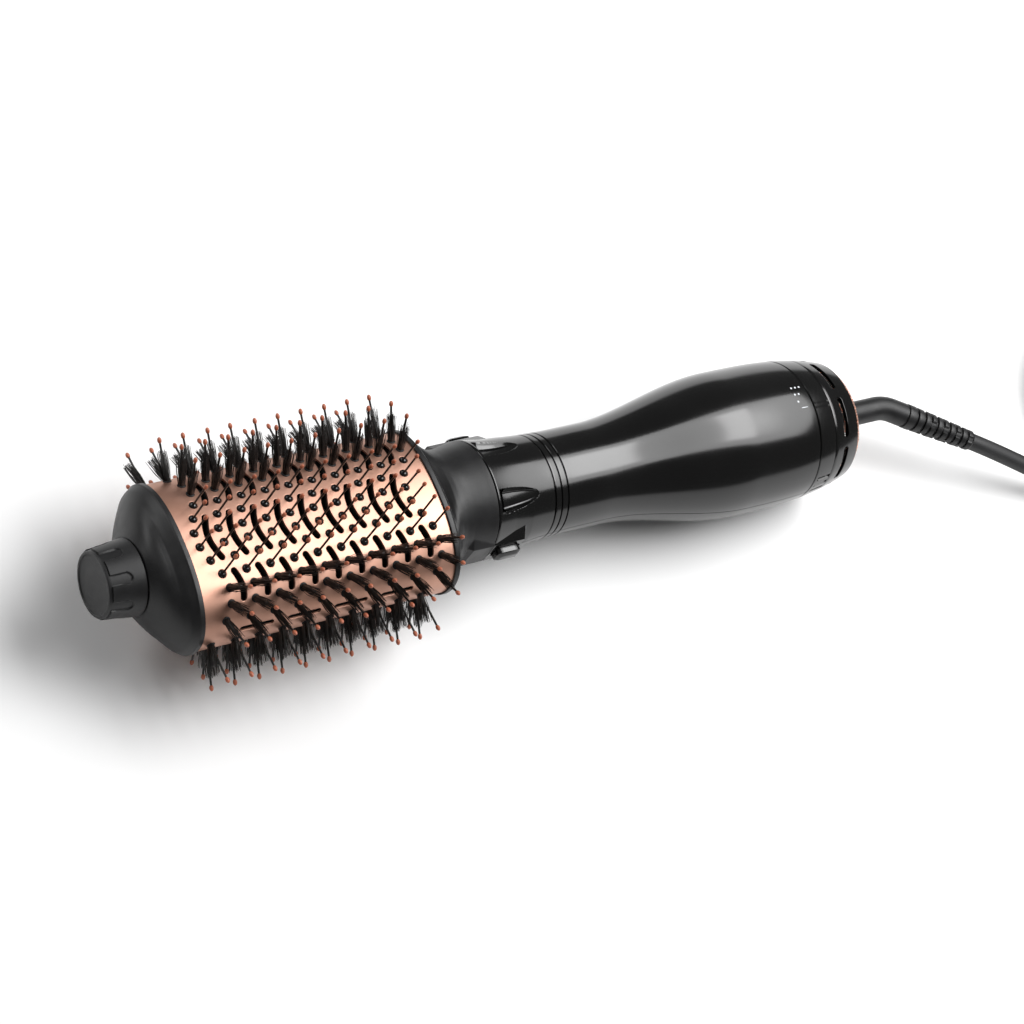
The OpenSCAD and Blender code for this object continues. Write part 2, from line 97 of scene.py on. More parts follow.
# ---- meshes ----
def meshPiece(name, points, faces, finish, body, nodes=(), slot=None, sharp=None, flat=False,
              onTable=False, merge=False, faceFinish=None):
    # points are brush millimetres (table millimetres if onTable), faces are arrays with one
    # face in each row; the sign of the enclosed volume tells whether the faces look outwards
    points = np.asarray(points, float).reshape(-1, 3)
    world = (points if onTable else lay(points)) / 1000
    faces = [np.asarray(f, int) for f in faces if len(f)]
    volume = 0.0
    for f in faces:
        for k in range(1, f.shape[1] - 1):
            volume += np.einsum("ij,ij->", world[f[:, 0]], np.cross(world[f[:, k]], world[f[:, k + 1]]))
    if volume < 0:
        faces = [f[:, ::-1] for f in faces]
    loops = np.concatenate([f.ravel() for f in faces]).astype(np.int32)
    sizes = np.concatenate([np.full(len(f), f.shape[1]) for f in faces])
    mesh = bpy.data.meshes.new(name)
    mesh.vertices.add(len(world))
    mesh.vertices.foreach_set("co", world.astype(np.float32).ravel())
    mesh.loops.add(len(loops))
    mesh.loops.foreach_set("vertex_index", loops)
    mesh.polygons.add(len(sizes))
    mesh.polygons.foreach_set("loop_start", np.concatenate([[0], np.cumsum(sizes)[:-1]]).astype(np.int32))
    if faceFinish is not None:
        mesh.polygons.foreach_set("material_index", np.concatenate(
            [np.full(len(f), i) for f, i in zip(faces, faceFinish)]).astype(np.int32))
    mesh.update(calc_edges=True)
    mesh.validate()
    if merge:
        bm = bmesh.new()
        bm.from_mesh(mesh)
        bmesh.ops.remove_doubles(bm, verts=bm.verts, dist=2e-6)
        bm.to_mesh(mesh)
        bm.free()
    mesh.polygons.foreach_set("use_smooth", np.full(len(mesh.polygons), not flat))
    if sharp:
        mesh.set_sharp_from_angle(angle=math.radians(sharp))
    for m in finish if isinstance(finish, (list, tuple)) else [finish]:
        mesh.materials.append(m)
    piece = bpy.data.objects.new(name, mesh)
    bpy.context.scene.collection.objects.link(piece)
    if body:
        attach(piece, body)
    if nodes:
        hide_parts(*nodes)
    return piece


def gridFaces(rows, columns, around=True, along=False, start=0):
    # quads between neighbouring rows and columns of a grid, closed on itself where asked
    i = np.arange(rows if along else rows - 1)
    j = np.arange(columns if around else columns - 1)
    i, j = np.meshgrid(i, j, indexing="ij")
    a, b = i * columns + j, i * columns + (j + 1) % columns
    c, d = ((i + 1) % rows) * columns + (j + 1) % columns, ((i + 1) % rows) * columns + j
    return np.stack([a, b, c, d], -1).reshape(-1, 4) + start


def capFaces(ring):
    # a fan from the ring's first point
    ring = np.asarray(ring)
    return np.stack([np.full(len(ring) - 2, ring[0]), ring[1:-1], ring[2:]], -1)


def roundedLine(corners, radius, steps=5):
    # a polyline whose corners are replaced by arcs: each arc point is a quadratic Bezier
    # between the two places where the fillet leaves the straight pieces
    p = np.asarray(corners, float)
    radius = np.broadcast_to(radius, len(p))
    out = [p[:1]]
    t = np.linspace(0, 1, steps)[:, None]
    for k in range(1, len(p) - 1):
        a, b = p[k - 1] - p[k], p[k + 1] - p[k]
        la, lb = np.linalg.norm(a), np.linalg.norm(b)
        r = min(radius[k], 0.45 * la, 0.45 * lb)
        s, e = p[k] + a / la * r, p[k] + b / lb * r
        out.append((1 - t) ** 2 * s + 2 * t * (1 - t) * p[k] + t ** 2 * e)
    out.append(p[-1:])
    return np.concatenate(out)


def turned(profile, around=96):
    # an outline of (x, radius) points turned round the brush's axis
    profile = np.asarray(profile, float)
    angle = np.linspace(0, 2 * np.pi, around, endpoint=False)
    x = np.repeat(profile[:, :1], around, 1)
    return np.stack([x, profile[:, 1:] * np.cos(angle), profile[:, 1:] * np.sin(angle)], -1)


def turnedPiece(name, profile, finish, body, around=96, **more):
    # the profile is closed: its last point joins its first
    points = turned(profile, around)
    return meshPiece(name, points, [gridFaces(len(points), around, along=True)], finish, body, **more)


def tube(path, radius, sides=16):
    # a circle carried along a path: the side vector is passed on from point to point and
    # made square to the path each time, so the tube doesn't twist
    path = np.asarray(path, float)
    tangent = np.gradient(path, axis=0)
    tangent /= np.linalg.norm(tangent, axis=1)[:, None]
    side = np.empty_like(path)
    first = np.cross(tangent[0], [0, 0, 1])
    side[0] = first / np.linalg.norm(first)
    for k in range(1, len(path)):
        v = side[k - 1] - side[k - 1].dot(tangent[k]) * tangent[k]
        side[k] = v / np.linalg.norm(v)
    up = np.cross(side, tangent)
    a = np.linspace(0, 2 * np.pi, sides, endpoint=False)
    radius = np.broadcast_to(radius, (len(path), sides)) if np.ndim(radius) < 2 else radius
    return path[:, None] + radius[..., None] * (np.cos(a)[None, :, None] * side[:, None]
                                                + np.sin(a)[None, :, None] * up[:, None])


def tubePiece(name, path, radius, finish, body, sides=16, **more):
    points = tube(path, radius, sides)
    n = len(points)
    return meshPiece(name, points, [gridFaces(n, sides), capFaces(np.arange(sides)[::-1]),
                                    capFaces((n - 1) * sides + np.arange(sides))],
                     finish, body, sharp=50, **more)


# ---- materials ----
def linear(code):
    # an sRGB hex code such as C9987F to linear light
    v = np.array([int(code[k:k + 2], 16) for k in (0, 2, 4)]) / 255
    v = np.where(v <= 0.04045, v / 12.92, ((v + 0.055) / 1.055) ** 2.4)
    return (*v.tolist(), 1.0)


def add(tree, kind, settings=(), links=()):
    # adds a node, sets its properties and unlinked sockets, and links the rest
    node = tree.nodes.new("ShaderNode" + kind)
    for key, value in dict(settings).items():
        if isinstance(key, str) and hasattr(node, key):
            setattr(node, key, value)
        else:
            node.inputs[key].default_value = value
    for key, (source, output) in dict(links).items():
        tree.links.new(source.outputs[output], node.inputs[key])
    return node


def stops(node, pairs):
    ramp = node.color_ramp
    while len(ramp.elements) < len(pairs):
        ramp.elements.new(0.5)
    for e, (at, colour) in zip(ramp.elements, pairs):
        e.position, e.color = at, linear(colour)
    return node


def plastic(name, dark, light, roughness, spread, grainMm, grainDepth, blotchMm=6.0, specular=0.5,
            metallic=0.0, detail=3.0):
    # colour and roughness drift in soft blotches, and a fine grain is raised by the bump;
    # grainMm is the real size of one grain, so the noise scale is 1000 / grainMm per metre
    material = bpy.data.materials.new(name)
    material.use_nodes = True
    tree = material.node_tree
    tree.nodes.clear()
    place = add(tree, "TexCoord")
    blotch = add(tree, "TexNoise", {"Scale": 1000 / blotchMm, "Detail": 3.0, "Roughness": 0.55},
                 {"Vector": (place, "Object")})
    grain = add(tree, "TexNoise", {"Scale": 1000 / grainMm, "Detail": detail, "Roughness": 0.6},
                {"Vector": (place, "Object")})
    colour = stops(add(tree, "ValToRGB", {}, {"Fac": (blotch, "Fac")}), [(0.3, dark), (0.7, light)])
    rough = add(tree, "MapRange", {"From Min": 0.25, "From Max": 0.75, "To Min": roughness - spread,
                                   "To Max": roughness + spread}, {"Value": (blotch, "Fac")})
    bump = add(tree, "Bump", {"Strength": 1.0, "Distance": grainDepth / 1000}, {"Height": (grain, "Fac")})
    shader = add(tree, "BsdfPrincipled", {"Metallic": metallic},
                 {"Base Color": (colour, "Color"), "Roughness": (rough, "Result"),
                  "Normal": (bump, "Normal")})
    if metallic < 1:
        shader.inputs["Specular IOR Level"].default_value = specular
        shader.inputs["IOR"].default_value = 1.5
    add(tree, "OutputMaterial", {}, {"Surface": (shader, "BSDF")})
    material.diffuse_color = linear(light)
    return material


# moulded ABS with a fine spark-eroded grain: charcoal, the highlight is broad and soft
mattePlastic = plastic("mouldedMatteAbs", "121213", "19191A", 0.44, 0.05, 0.45, 0.03, specular=0.4)
# piano-polished ABS: nearly black, mirrors the soft boxes with faint waves
glossPlastic = plastic("polishedBlackAbs", "060606", "0A0A0A", 0.15, 0.03, 9.0, 0.012, blotchMm=25,
                       detail=1.0)
# rose-gold satin lacquer with fine metal flake on aluminium sheet: warm, wide metallic sheen
roseSatin = plastic("roseGoldSatinAluminium", "B98D79", "C49A88", 0.47, 0.035, 0.22, 0.010,
                    blotchMm=14, metallic=1.0)
# nylon rod: black with a small sharp glint
nylonBlack = plastic("blackNylonRod", "100E0D", "1A1715", 0.33, 0.05, 0.5, 0.01)
# glossy moulded bead at each pin's root
beadBlack = plastic("polishedBlackBead", "08080A", "0E0E10", 0.16, 0.04, 0.6, 0.006)
# copper-brown nylon balls with a soft shine
ballNylon = plastic("copperBrownNylon", "A0553A", "B5694C", 0.36, 0.06, 0.3, 0.012, blotchMm=1.2)
# tufted nylon filament: brown-black, catches light only along single hairs
filamentNylon = plastic("tuftedNylonFilament", "0D0B0A", "231E1B", 0.42, 0.08, 0.3, 0.02, blotchMm=0.8)
# glass-filled nylon inside: dull black
innerPlastic = plastic("glassFilledNylon", "0A0A0A", "131313", 0.6, 0.08, 0.5, 0.04)
# woven rose-gold wire: bright round glints with dark gaps
roseWire = plastic("wovenRoseGoldWire", "D9A48E", "EBC0AC", 0.28, 0.05, 0.2, 0.008, blotchMm=2,
                   metallic=1.0)
# extruded soft PVC: dull black with a faint matt bloom
cordVinyl = plastic("extrudedSoftPvc", "171718", "202021", 0.55, 0.06, 0.5, 0.05, blotchMm=18)
# rolled and stamped steel
plainSteel = plastic("stampedSteel", "8E8E92", "A9A9AC", 0.34, 0.08, 0.6, 0.02, metallic=1.0)
platedBrass = plastic("nickelPlatedBrass", "B9B6AE", "D2CFC7", 0.2, 0.05, 0.8, 0.01, metallic=1.0)
nichrome = plastic("nichromeWire", "5F5A56", "77716C", 0.4, 0.08, 0.4, 0.02, metallic=1.0)
micaSheet = plastic("pressedMicaSheet", "A38D62", "C7B386", 0.45, 0.12, 1.2, 0.05, blotchMm=3)
boardResin = plastic("glassEpoxyBoard", "14401F", "1E5A2C", 0.4, 0.08, 0.6, 0.03)
siliconeLead = plastic("siliconeLead", "6B1410", "861D16", 0.5, 0.06, 0.5, 0.02)
# pad-printed pips: thin white ink
printWhite = plastic("padPrintedInk", "C9CDD2", "D9DDE1", 0.5, 0.05, 0.3, 0.01, blotchMm=1)

cadFinish = {
    "bristle_sleeve": innerPlastic, "air_guide": innerPlastic, "coupling_sleeve": innerPlastic,
    "heat_shield": plainSteel, "mica_boards": micaSheet, "heater_coil": nichrome,
    "thermostat": plainSteel, "thermal_fuse": platedBrass, "motor": plainSteel,
    "motor_mount": innerPlastic, "motor_shaft": plainSteel, "impeller": innerPlastic,
    "circuit_board": boardResin, "rectifier": innerPlastic, "mode_switch": innerPlastic,
    "filter_ring": innerPlastic, "button_spring_left": plainSteel, "button_spring_right": plainSteel,
    "shell_screws": plainSteel, "inner_leads": siliconeLead, "plug_pins": platedBrass}
for nodeName, node in frame["nodes"].items():
    node.data.materials.clear()
    node.data.materials.append(cadFinish.get(nodeName, mattePlastic))

# ---- cord ----
cordSettings = {"diameter": 7.0, "coilAt": (334, -21.5), "inner": 31.5, "outer": 52.5, "topOuter": 50.75,
                "bend": [(225.5, -20.35, 20.35), (249.7, -34.1, 16.6), (280, -50.97, 3.5),
                         (307.75, -66.97, 3.5)],
                "climb": [(330, 50.75, 10.5), (345, 51.2, 10.9), (360, 51.5, 11.7), (375, 51.6, 12.7),
                          (390, 51.6, 13.8), (405, 51.5, 15), (420, 51.2, 16.2), (435, 50.6, 17.2),
                          (450, 50, 18.2), (465, 49.6, 18.9), (480, 49.3, 19.2), (500, 49, 19.2),
                          (520, 49, 19.2), (540, 49, 19.2)],
                "lastBend": 33, "lastSide": 16, "lastRise": 2.4, "turnsDown": 3.0, "turnsUp": 2.75,
                "startAngle": 240, "tieAngle": 120}


def cordPath(c):
    # a Bezier curve from the strain relief to the coil, a flat spiral inwards, half a turn
    # that climbs, a second spiral outwards on top of the first, the tail's climb onto the
    # coil and a last quarter circle to the plug
    t = np.linspace(0, 1, 24)[:, None]
    b = np.array(c["bend"], float)
    run = (1 - t) ** 3 * b[0] + 3 * (1 - t) ** 2 * t * b[1] + 3 * (1 - t) * t ** 2 * b[2] + t ** 3 * b[3]

    def spiral(angles, radii, heights):
        a = np.radians(angles)
        return np.stack([c["coilAt"][0] + radii * np.cos(a), c["coilAt"][1] + radii * np.sin(a),
                         heights], -1)

    half = c["diameter"] / 2
    n1, n2 = int(30 * c["turnsDown"]), int(30 * c["turnsUp"])
    a0 = c["startAngle"]
    a1 = a0 + 360 * c["turnsDown"]
    a2 = a1 + 180
    down = spiral(np.linspace(a0, a1, n1), np.linspace(c["outer"], c["inner"], n1),
                  np.full(n1, half))
    s = np.linspace(0, 1, 16)
    rise = spiral(a1 + 180 * s, np.full(16, c["inner"]), half + 2 * half * (3 * s ** 2 - 2 * s ** 3))
    up = spiral(np.linspace(a2, a2 + 360 * c["turnsUp"], n2),
                np.linspace(c["inner"], c["topOuter"], n2), np.full(n2, 3 * half))
    climb = spiral(*np.array(c["climb"], float).T)
    t = np.linspace(0, 1, 10)
    q = np.pi / 2 * t
    last = np.stack([c["coilAt"][0] - c["lastSide"] - c["lastBend"] * np.cos(q),
                     c["coilAt"][1] - c["lastBend"] * np.sin(q),
                     climb[-1, 2] + c["lastRise"] * t * t * (3 - 2 * t)], -1)
    return np.concatenate([run, down[1:], rise[1:], up[1:], climb[1:], last[1:]])


def smoothPath(path, count):
    # points at even distances along the path
    s = np.concatenate([[0], np.cumsum(np.linalg.norm(np.diff(path, axis=0), axis=1))])
    at = np.linspace(0, s[-1], count)
    return np.stack([np.interp(at, s, path[:, k]) for k in range(3)], -1), s[-1]


cordLine, cordLength = smoothPath(cordPath(cordSettings), 520)
print("cord", round(cordLength), "mm")
cord = tubePiece("mainsCord", cordLine, cordSettings["diameter"] / 2, cordVinyl, None, sides=14,
                 nodes=("cord_run", "cord_coil", "cord_tail"), slot="cord_rubber", onTable=True)

# plug: two rounded necks that grow into a flat grip; the section is a rounded oval whose
# half width and half height follow the length
plugSettings = {"at": (318.0, -54.5, 21.6), "power": 2.6, "gripWide": 16.6, "gripHigh": 7.2}


def makePlug(c, around=48):
    along = np.concatenate([np.linspace(0, 16, 33), np.linspace(16.5, 49.2, 30), [49.7, 50, 50]])
    grow = np.clip((along - 15) / 22, 0, 1)
    grow = grow * grow * (3 - 2 * grow)
    neck = 4.5 + along.clip(0, 20) * 0.06
    ribs = np.where((along > 1.5) & (along < 15), -0.5 * (np.sin(along * 2 * np.pi / 3.2) > 0.2), 0)
    width = (neck + ribs) * (1 - grow) + c["gripWide"] * grow
    height = (neck + ribs) * (1 - grow) + c["gripHigh"] * grow
    width[-3:] -= [0.2, 0.8, 16.5]
    height[-3:] -= [0.2, 0.8, 7.1]
    a = np.linspace(0, 2 * np.pi, around, endpoint=False)
    y = np.sign(np.cos(a)) * np.abs(np.cos(a)) ** (2 / c["power"])
    z = np.sign(np.sin(a)) * np.abs(np.sin(a)) ** (2 / c["power"])
    p = np.stack([c["at"][0] + np.repeat(along[:, None], around, 1),
                  c["at"][1] + width[:, None] * y, c["at"][2] + height[:, None] * z], -1)
    p = np.concatenate([p[:1] * 0 + p[:1].mean(1, keepdims=True), p,
                        p[-1:] * 0 + p[-1:].mean(1, keepdims=True)])
    return meshPiece("mainsPlug", p, [gridFaces(len(p), p.shape[1])], cordVinyl, "handle",
                     nodes=("plug_body",), slot="cord_rubber", sharp=45, onTable=True, merge=True)


plug = makePlug(plugSettings)


def makeTie(c):
    # a flat strap bent round the coil's section: a rounded rectangle carried across its width
    inner, outer = c["inner"] - 4.6, c["outer"] + 4.4
    top, floor, thick = 14.75, 0.1, 0.8
    a = math.radians(c["tieAngle"])
    across = np.linspace(-4.6, 4.6, 9)
    ring = roundedLine([(outer, floor), (outer, top), (inner, top), (inner, floor)], 2.2, 7)
    d = np.gradient(ring, axis=0)
    n = np.stack([d[:, 1], -d[:, 0]], -1) / np.linalg.norm(d, axis=1)[:, None]
    loop = np.concatenate([ring, (ring - thick * n)[::-1]])
    p = np.stack([np.repeat(loop[None, :, 0], 9, 0), np.repeat(across[:, None], len(loop), 1),
                  np.repeat(loop[None, :, 1], 9, 0)], -1)
    x = c["coilAt"][0] + p[..., 0] * math.cos(a) - p[..., 1] * math.sin(a)
    y = c["coilAt"][1] + p[..., 0] * math.sin(a) + p[..., 1] * math.cos(a)
    p = np.stack([x, y, p[..., 2]], -1)
    m, k = p.shape[:2]
    h = k // 2
    i = np.arange(h - 1)
    end = np.stack([i, i + 1, k - 2 - i, k - 1 - i], -1)
    return meshPiece("cordTie", p, [gridFaces(m, k), end[:, ::-1], end + (m - 1) * k], mattePlastic,
                     "handle", nodes=("cord_tie",), slot="matte_black", sharp=40, onTable=True)


tie = makeTie(cordSettings)
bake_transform(cord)


# ---- the oval ----
ovalSettings = {"halfWidth": 31.5, "halfHeight": 19.8, "power": 2.25, "length": 104.0}


def ovalTable(c, count=7201):
    # y = a * |cos u| ** (2 / n), z = b * |sin u| ** (2 / n) with their signs; arc length is
    # counted from the top of the oval towards -y, and the normal is the slope turned square
    u = np.radians(np.linspace(90, 450, count))
    y = c["halfWidth"] * np.sign(np.cos(u)) * np.abs(np.cos(u)) ** (2 / c["power"])
    z = c["halfHeight"] * np.sign(np.sin(u)) * np.abs(np.sin(u)) ** (2 / c["power"])
    s = np.concatenate([[0], np.cumsum(np.hypot(np.diff(y), np.diff(z)))])
    even = np.linspace(0, s[-1], count)
    y, z = np.interp(even, s, y), np.interp(even, s, z)
    dy, dz = np.gradient(y), np.gradient(z)
    size = np.hypot(dy, dz)
    return {"s": even, "y": y, "z": z, "ny": dz / size, "nz": -dy / size, "around": s[-1]}


oval = ovalTable(ovalSettings)


def ovalAt(s, out=0.0):
    # the point at arc length s, moved outwards along the normal
    w = np.mod(s, oval["around"])
    y, z, ny, nz = (np.interp(w, oval["s"], oval[k]) for k in ("y", "z", "ny", "nz"))
    size = np.hypot(ny, nz)
    return y + out * ny / size, z + out * nz / size, ny / size, nz / size


# ---- perforated sheets ----
def slotLoop(line, half, grow, arc=7):
    # the outline at a fixed distance from a line: along one side, round the end, and back
    line = np.asarray(line, float)
    r = half + grow
    if len(line) == 1:
        a = np.linspace(0, 2 * np.pi, 20, endpoint=False)
        return line + r * np.stack([np.cos(a), np.sin(a)], -1)
    d = np.gradient(line, axis=0)
    d /= np.linalg.norm(d, axis=1)[:, None]
    n = np.stack([-d[:, 1], d[:, 0]], -1)
    a = np.linspace(0, np.pi, arc + 2)[1:-1, None]
    front = line[-1] + r * (np.cos(a) * n[-1] + np.sin(a) * d[-1])
    back = line[0] + r * (-np.cos(a) * n[0] - np.sin(a) * d[0])
    return np.concatenate([line + r * n, front, (line - r * n)[::-1], back])


def perforated(size, holes, step, thick, place, bevel=0.18):
    # size is (u0, u1, v0, v1); a triangulation of the border, the holes' outlines and a grid
    # of points between them, once for the outside and once for the inside, joined by a
    # rounded wall round each hole; place(u, v, depth) turns it into brush millimetres
    u0, u1, v0, v1 = size
    nu, nv = int(round((u1 - u0) / step)), int(round((v1 - v0) / step))
    loops = [slotLoop(line, half, bevel) for line, half in holes]
    us, vs = np.linspace(u0, u1, nu + 1), np.linspace(v0, v1, nv + 1)
    border = np.concatenate([np.stack(side, -1) for side in (
        (us[:-1], np.full(nu, v0)), (np.full(nv, u1), vs[:-1]),
        (us[:0:-1], np.full(nu, v1)), (np.full(nv, u0), vs[:0:-1]))])
    grid = np.stack(np.meshgrid(us[1:-1], vs[1:-1], indexing="ij"), -1).reshape(-1, 2)
    near = np.zeros(len(grid), bool)
    for line, half in holes:
        fine = np.asarray(line, float)
        gap = np.linalg.norm(grid[:, None] - fine[None], axis=2).min(1)
        near |= gap < half + bevel + 0.45 * step
    grid = grid[~near]
    parts = [border] + loops + [grid]
    starts = np.concatenate([[0], np.cumsum([len(p) for p in parts])])
    points = np.concatenate(parts)
    edges = []
    for k in range(len(loops) + 1):
        i = np.arange(len(parts[k]))
        edges += (np.stack([i, np.roll(i, -1)], -1) + starts[k]).tolist()
    found = delaunay_2d_cdt([Vector(p) for p in points.tolist()], edges, [], 0, 1e-5)
    tris, origin = found[2], found[3]
    index = np.array([o[0] if o else -1 for o in origin])
    tris = index[np.array([list(t) for t in tris])]
    tris = tris[(tris >= 0).all(1)]
    owner = np.full(len(points), -1)
    for k in range(len(loops)):
        owner[starts[k + 1]:starts[k + 2]] = k
    own = owner[tris]
    same = (own[:, 0] >= 0) & (own[:, 0] == own[:, 1]) & (own[:, 1] == own[:, 2])
    drop = np.zeros(len(tris), bool)
    centres = points[tris].mean(1)
    for k in np.unique(own[same, 0]):
        rows = np.where(same & (own[:, 0] == k))[0]
        line = np.asarray(holes[k][0], float)
        if len(line) == 1:
            drop[rows] = True
            continue
        a, b = line[:-1], line[1:]
        d = b - a
        w = np.clip(np.einsum("ijk,jk->ij", centres[rows][:, None] - a, d) / (d ** 2).sum(1), 0, 1)
        gap = np.linalg.norm(centres[rows][:, None] - (a + w[..., None] * d), axis=2).min(1)
        drop[rows] = gap < holes[k][1] + bevel
    tris = tris[~drop]
    cross = np.cross(points[tris[:, 1]] - points[tris[:, 0]], points[tris[:, 2]] - points[tris[:, 0]])
    tris[cross < 0] = tris[cross < 0][:, ::-1]
    n = len(points)
    flat = [np.column_stack([points, np.zeros(n)]), np.column_stack([points, np.full(n, thick)])]
    faces = [tris, tris[:, ::-1] + n]
    wall, total = [], 2 * n
    for k, (line, half) in enumerate(holes):
        rings = [starts[k + 1] + np.arange(len(loops[k]))]
        for grow, depth in ((0.28 * bevel, 0.04), (0, 0.16), (0, 0.85 * thick)):
            loop = slotLoop(line, half, grow)
            flat.append(np.column_stack([loop, np.full(len(loop), depth)]))
            rings.append(total + np.arange(len(loop)))
            total += len(loop)
        rings.append(rings[0] + n)
        for a, b in zip(rings[:-1], rings[1:]):
            wall.append(np.stack([a, b, np.roll(b, -1), np.roll(a, -1)], -1))
    i = np.arange(len(border))
    j = np.roll(i, -1)
    rimEdge = np.stack([i, i + n, j + n, j], -1)
    flat = np.concatenate(flat)
    loopArea = [np.cross(l, np.roll(l, -1, 0)).sum() for l in loops]
    wall = np.concatenate([w if loopArea[k // 4] > 0 else w[:, ::-1] for k, w in enumerate(wall)])
    return place(flat[:, 0], flat[:, 1], flat[:, 2]), [faces[0], faces[1]], wall, rimEdge


# ---- barrel ----
barrelSettings = {"rows": 15, "pitch": 9.68, "first": 8.4, "wave": 3.4, "waveRows": 7.5,
                  "gap": oval["around"] / 30, "wall": 1.0, "slotHalf": 1.22, "columns": 10,
                  "pinHole": 1.62, "tuftHole": 1.5, "faceRows": (0.5, 1.5, 2.5),
                  "edgeRows": (3.45, 4.45, 5.5)}


def waveX(row, c=barrelSettings):
    # each column waves along the barrel: x = first - wave * cos(turn * row / rows in a wave)
    return c["first"] - c["wave"] * np.cos(2 * np.pi * np.asarray(row) / c["waveRows"])


def barrelHoles(c):
    holes = []
    for i in range(c["columns"]):
        for sign in (1, -1):
            for row in c["faceRows"]:
                holes.append(([(waveX(row) + c["pitch"] * i, sign * row * c["gap"])], c["pinHole"]))
            for row in c["edgeRows"]:
                holes.append(([(waveX(row) + c["pitch"] * i, sign * row * c["gap"])], c["tuftHole"]))
        holes.append(([(waveX(7.5) + c["pitch"] * i, 7.5 * c["gap"])], c["tuftHole"]))
    for i in range(c["columns"] - 1):
        for s0, s1 in ((-9.2, 9.2), (12.5, 24.9), (-24.9, -12.5)):
            s0, s1 = s0 + c["slotHalf"], s1 - c["slotHalf"]
            s = np.linspace(s0, s1, max(5, int((s1 - s0) / 1.1)))
            x = waveX(s / c["gap"]) + c["pitch"] * (i + 0.5)
            holes.append((np.stack([x, s], -1), c["slotHalf"]))
    for k in range(4):
        for s in (35.75, c["rows"] * c["gap"] - 35.75):
            x = np.linspace(14.7 + c["slotHalf"], 28.8 - c["slotHalf"], 9) + 2 * c["pitch"] * k
            holes.append((np.stack([x, np.full(9, s)], -1), 1.1))
    return holes


def makeBarrel(c):
    half = c["rows"] * c["gap"]
    start = -6.0 * c["gap"]

    def place(u, v, depth):
        y, z, _, _ = ovalAt(v, -depth)
        return np.stack([u, y, z], -1)

    points, skins, wall, edge = perforated((0, ovalSettings["length"], start, start + half), barrelHoles(c),
                                           1.5, c["wall"], place)
    # the border's long sides are open, because the two halves meet there
    long = (np.abs(points[edge[:, 0], 0] - points[edge[:, 3], 0]) < 1e-6)
    faces = skins + [wall, edge[long]]
    other = points * [1, -1, -1]
    n = len(points)
    return meshPiece("barrel", np.concatenate([points, other]),
                     [np.concatenate([f, f + n]) for f in faces], roseSatin, "brush_head",
                     nodes=("barrel",), slot="rose_barrel", sharp=35, merge=True)


makeBarrel(barrelSettings)
print("barrel")


# ---- pins and tufts ----
pinSettings = {"shaft": 0.42, "ballWide": 0.8, "ballLong": 1.2, "bead": 1.5, "faceTop": 31.9,
               "edgeOut": 14.8, "tuftLong": 11.0, "filaments": 34, "filament": 0.13, "tuftRoot": 1.25,
               "midLow": 7.0, "midBack": 1.0}


def frames(direction):
    # two unit vectors square to each direction
    side = np.cross(direction, [1.0, 0.2, 0.1])
    side /= np.linalg.norm(side, axis=1)[:, None]
    return side, np.cross(direction, side)


def copies(template, rings, at, direction):
    # a small turned shape, given as (radius, height) rows, stood at each place along its
    # direction; the rows become rings of a few sides, and the first and last are fans
    side, up = frames(direction)
    a = np.linspace(0, 2 * np.pi, rings, endpoint=False)
    template = np.asarray(template, float)
    if template.ndim == 2:
        template = np.repeat(template[None], len(at), 0)
    r, h = template[..., 0], template[..., 1]
    p = (at[:, None, None] + h[..., None, None] * direction[:, None, None]
         + r[..., None, None] * (np.cos(a)[:, None] * side[:, None, None]
                                 + np.sin(a)[:, None] * up[:, None, None]))
    m, k = template.shape[:2]
    grid = gridFaces(k, rings)
    caps = np.concatenate([capFaces(np.arange(rings)[::-1]), capFaces((k - 1) * rings + np.arange(rings))])
    shift = (np.arange(m) * k * rings)[:, None, None]
    return p.reshape(-1, 3), (grid[None] + shift).reshape(-1, 4), (caps[None] + shift).reshape(-1, 3)


def turnedAbout(v, axis, degrees):
    # Rodrigues' formula: v cos a + (axis x v) sin a + axis (axis . v)(1 - cos a)
    a = np.radians(np.asarray(degrees, float))[..., None]
    return (v * np.cos(a) + np.cross(axis, v) * np.sin(a)
            + axis * (v * axis).sum(-1, keepdims=True) * (1 - np.cos(a)))


def edgePlaces(c=barrelSettings):
    # every tuft of one narrow edge (the one at +y): place on the oval, and the leans of its
    # tuft and pins, lowered towards the middle of the edge and drawn towards the tip
    out = []
    for i in range(c["columns"]):
        for sign in (1, -1):
            for row, low, back in ((3.45, 3.5, 0.0), (4.45, 6.7, 2.3), (5.5, 9.7, 2.1)):
                out.append((waveX(row) + c["pitch"] * i, -row * c["gap"], sign, low, back, 0))
        out.append((waveX(7.5) + c["pitch"] * i, -7.5 * c["gap"], 1, 0, 15.0, 1))
    return np.array(out, float)


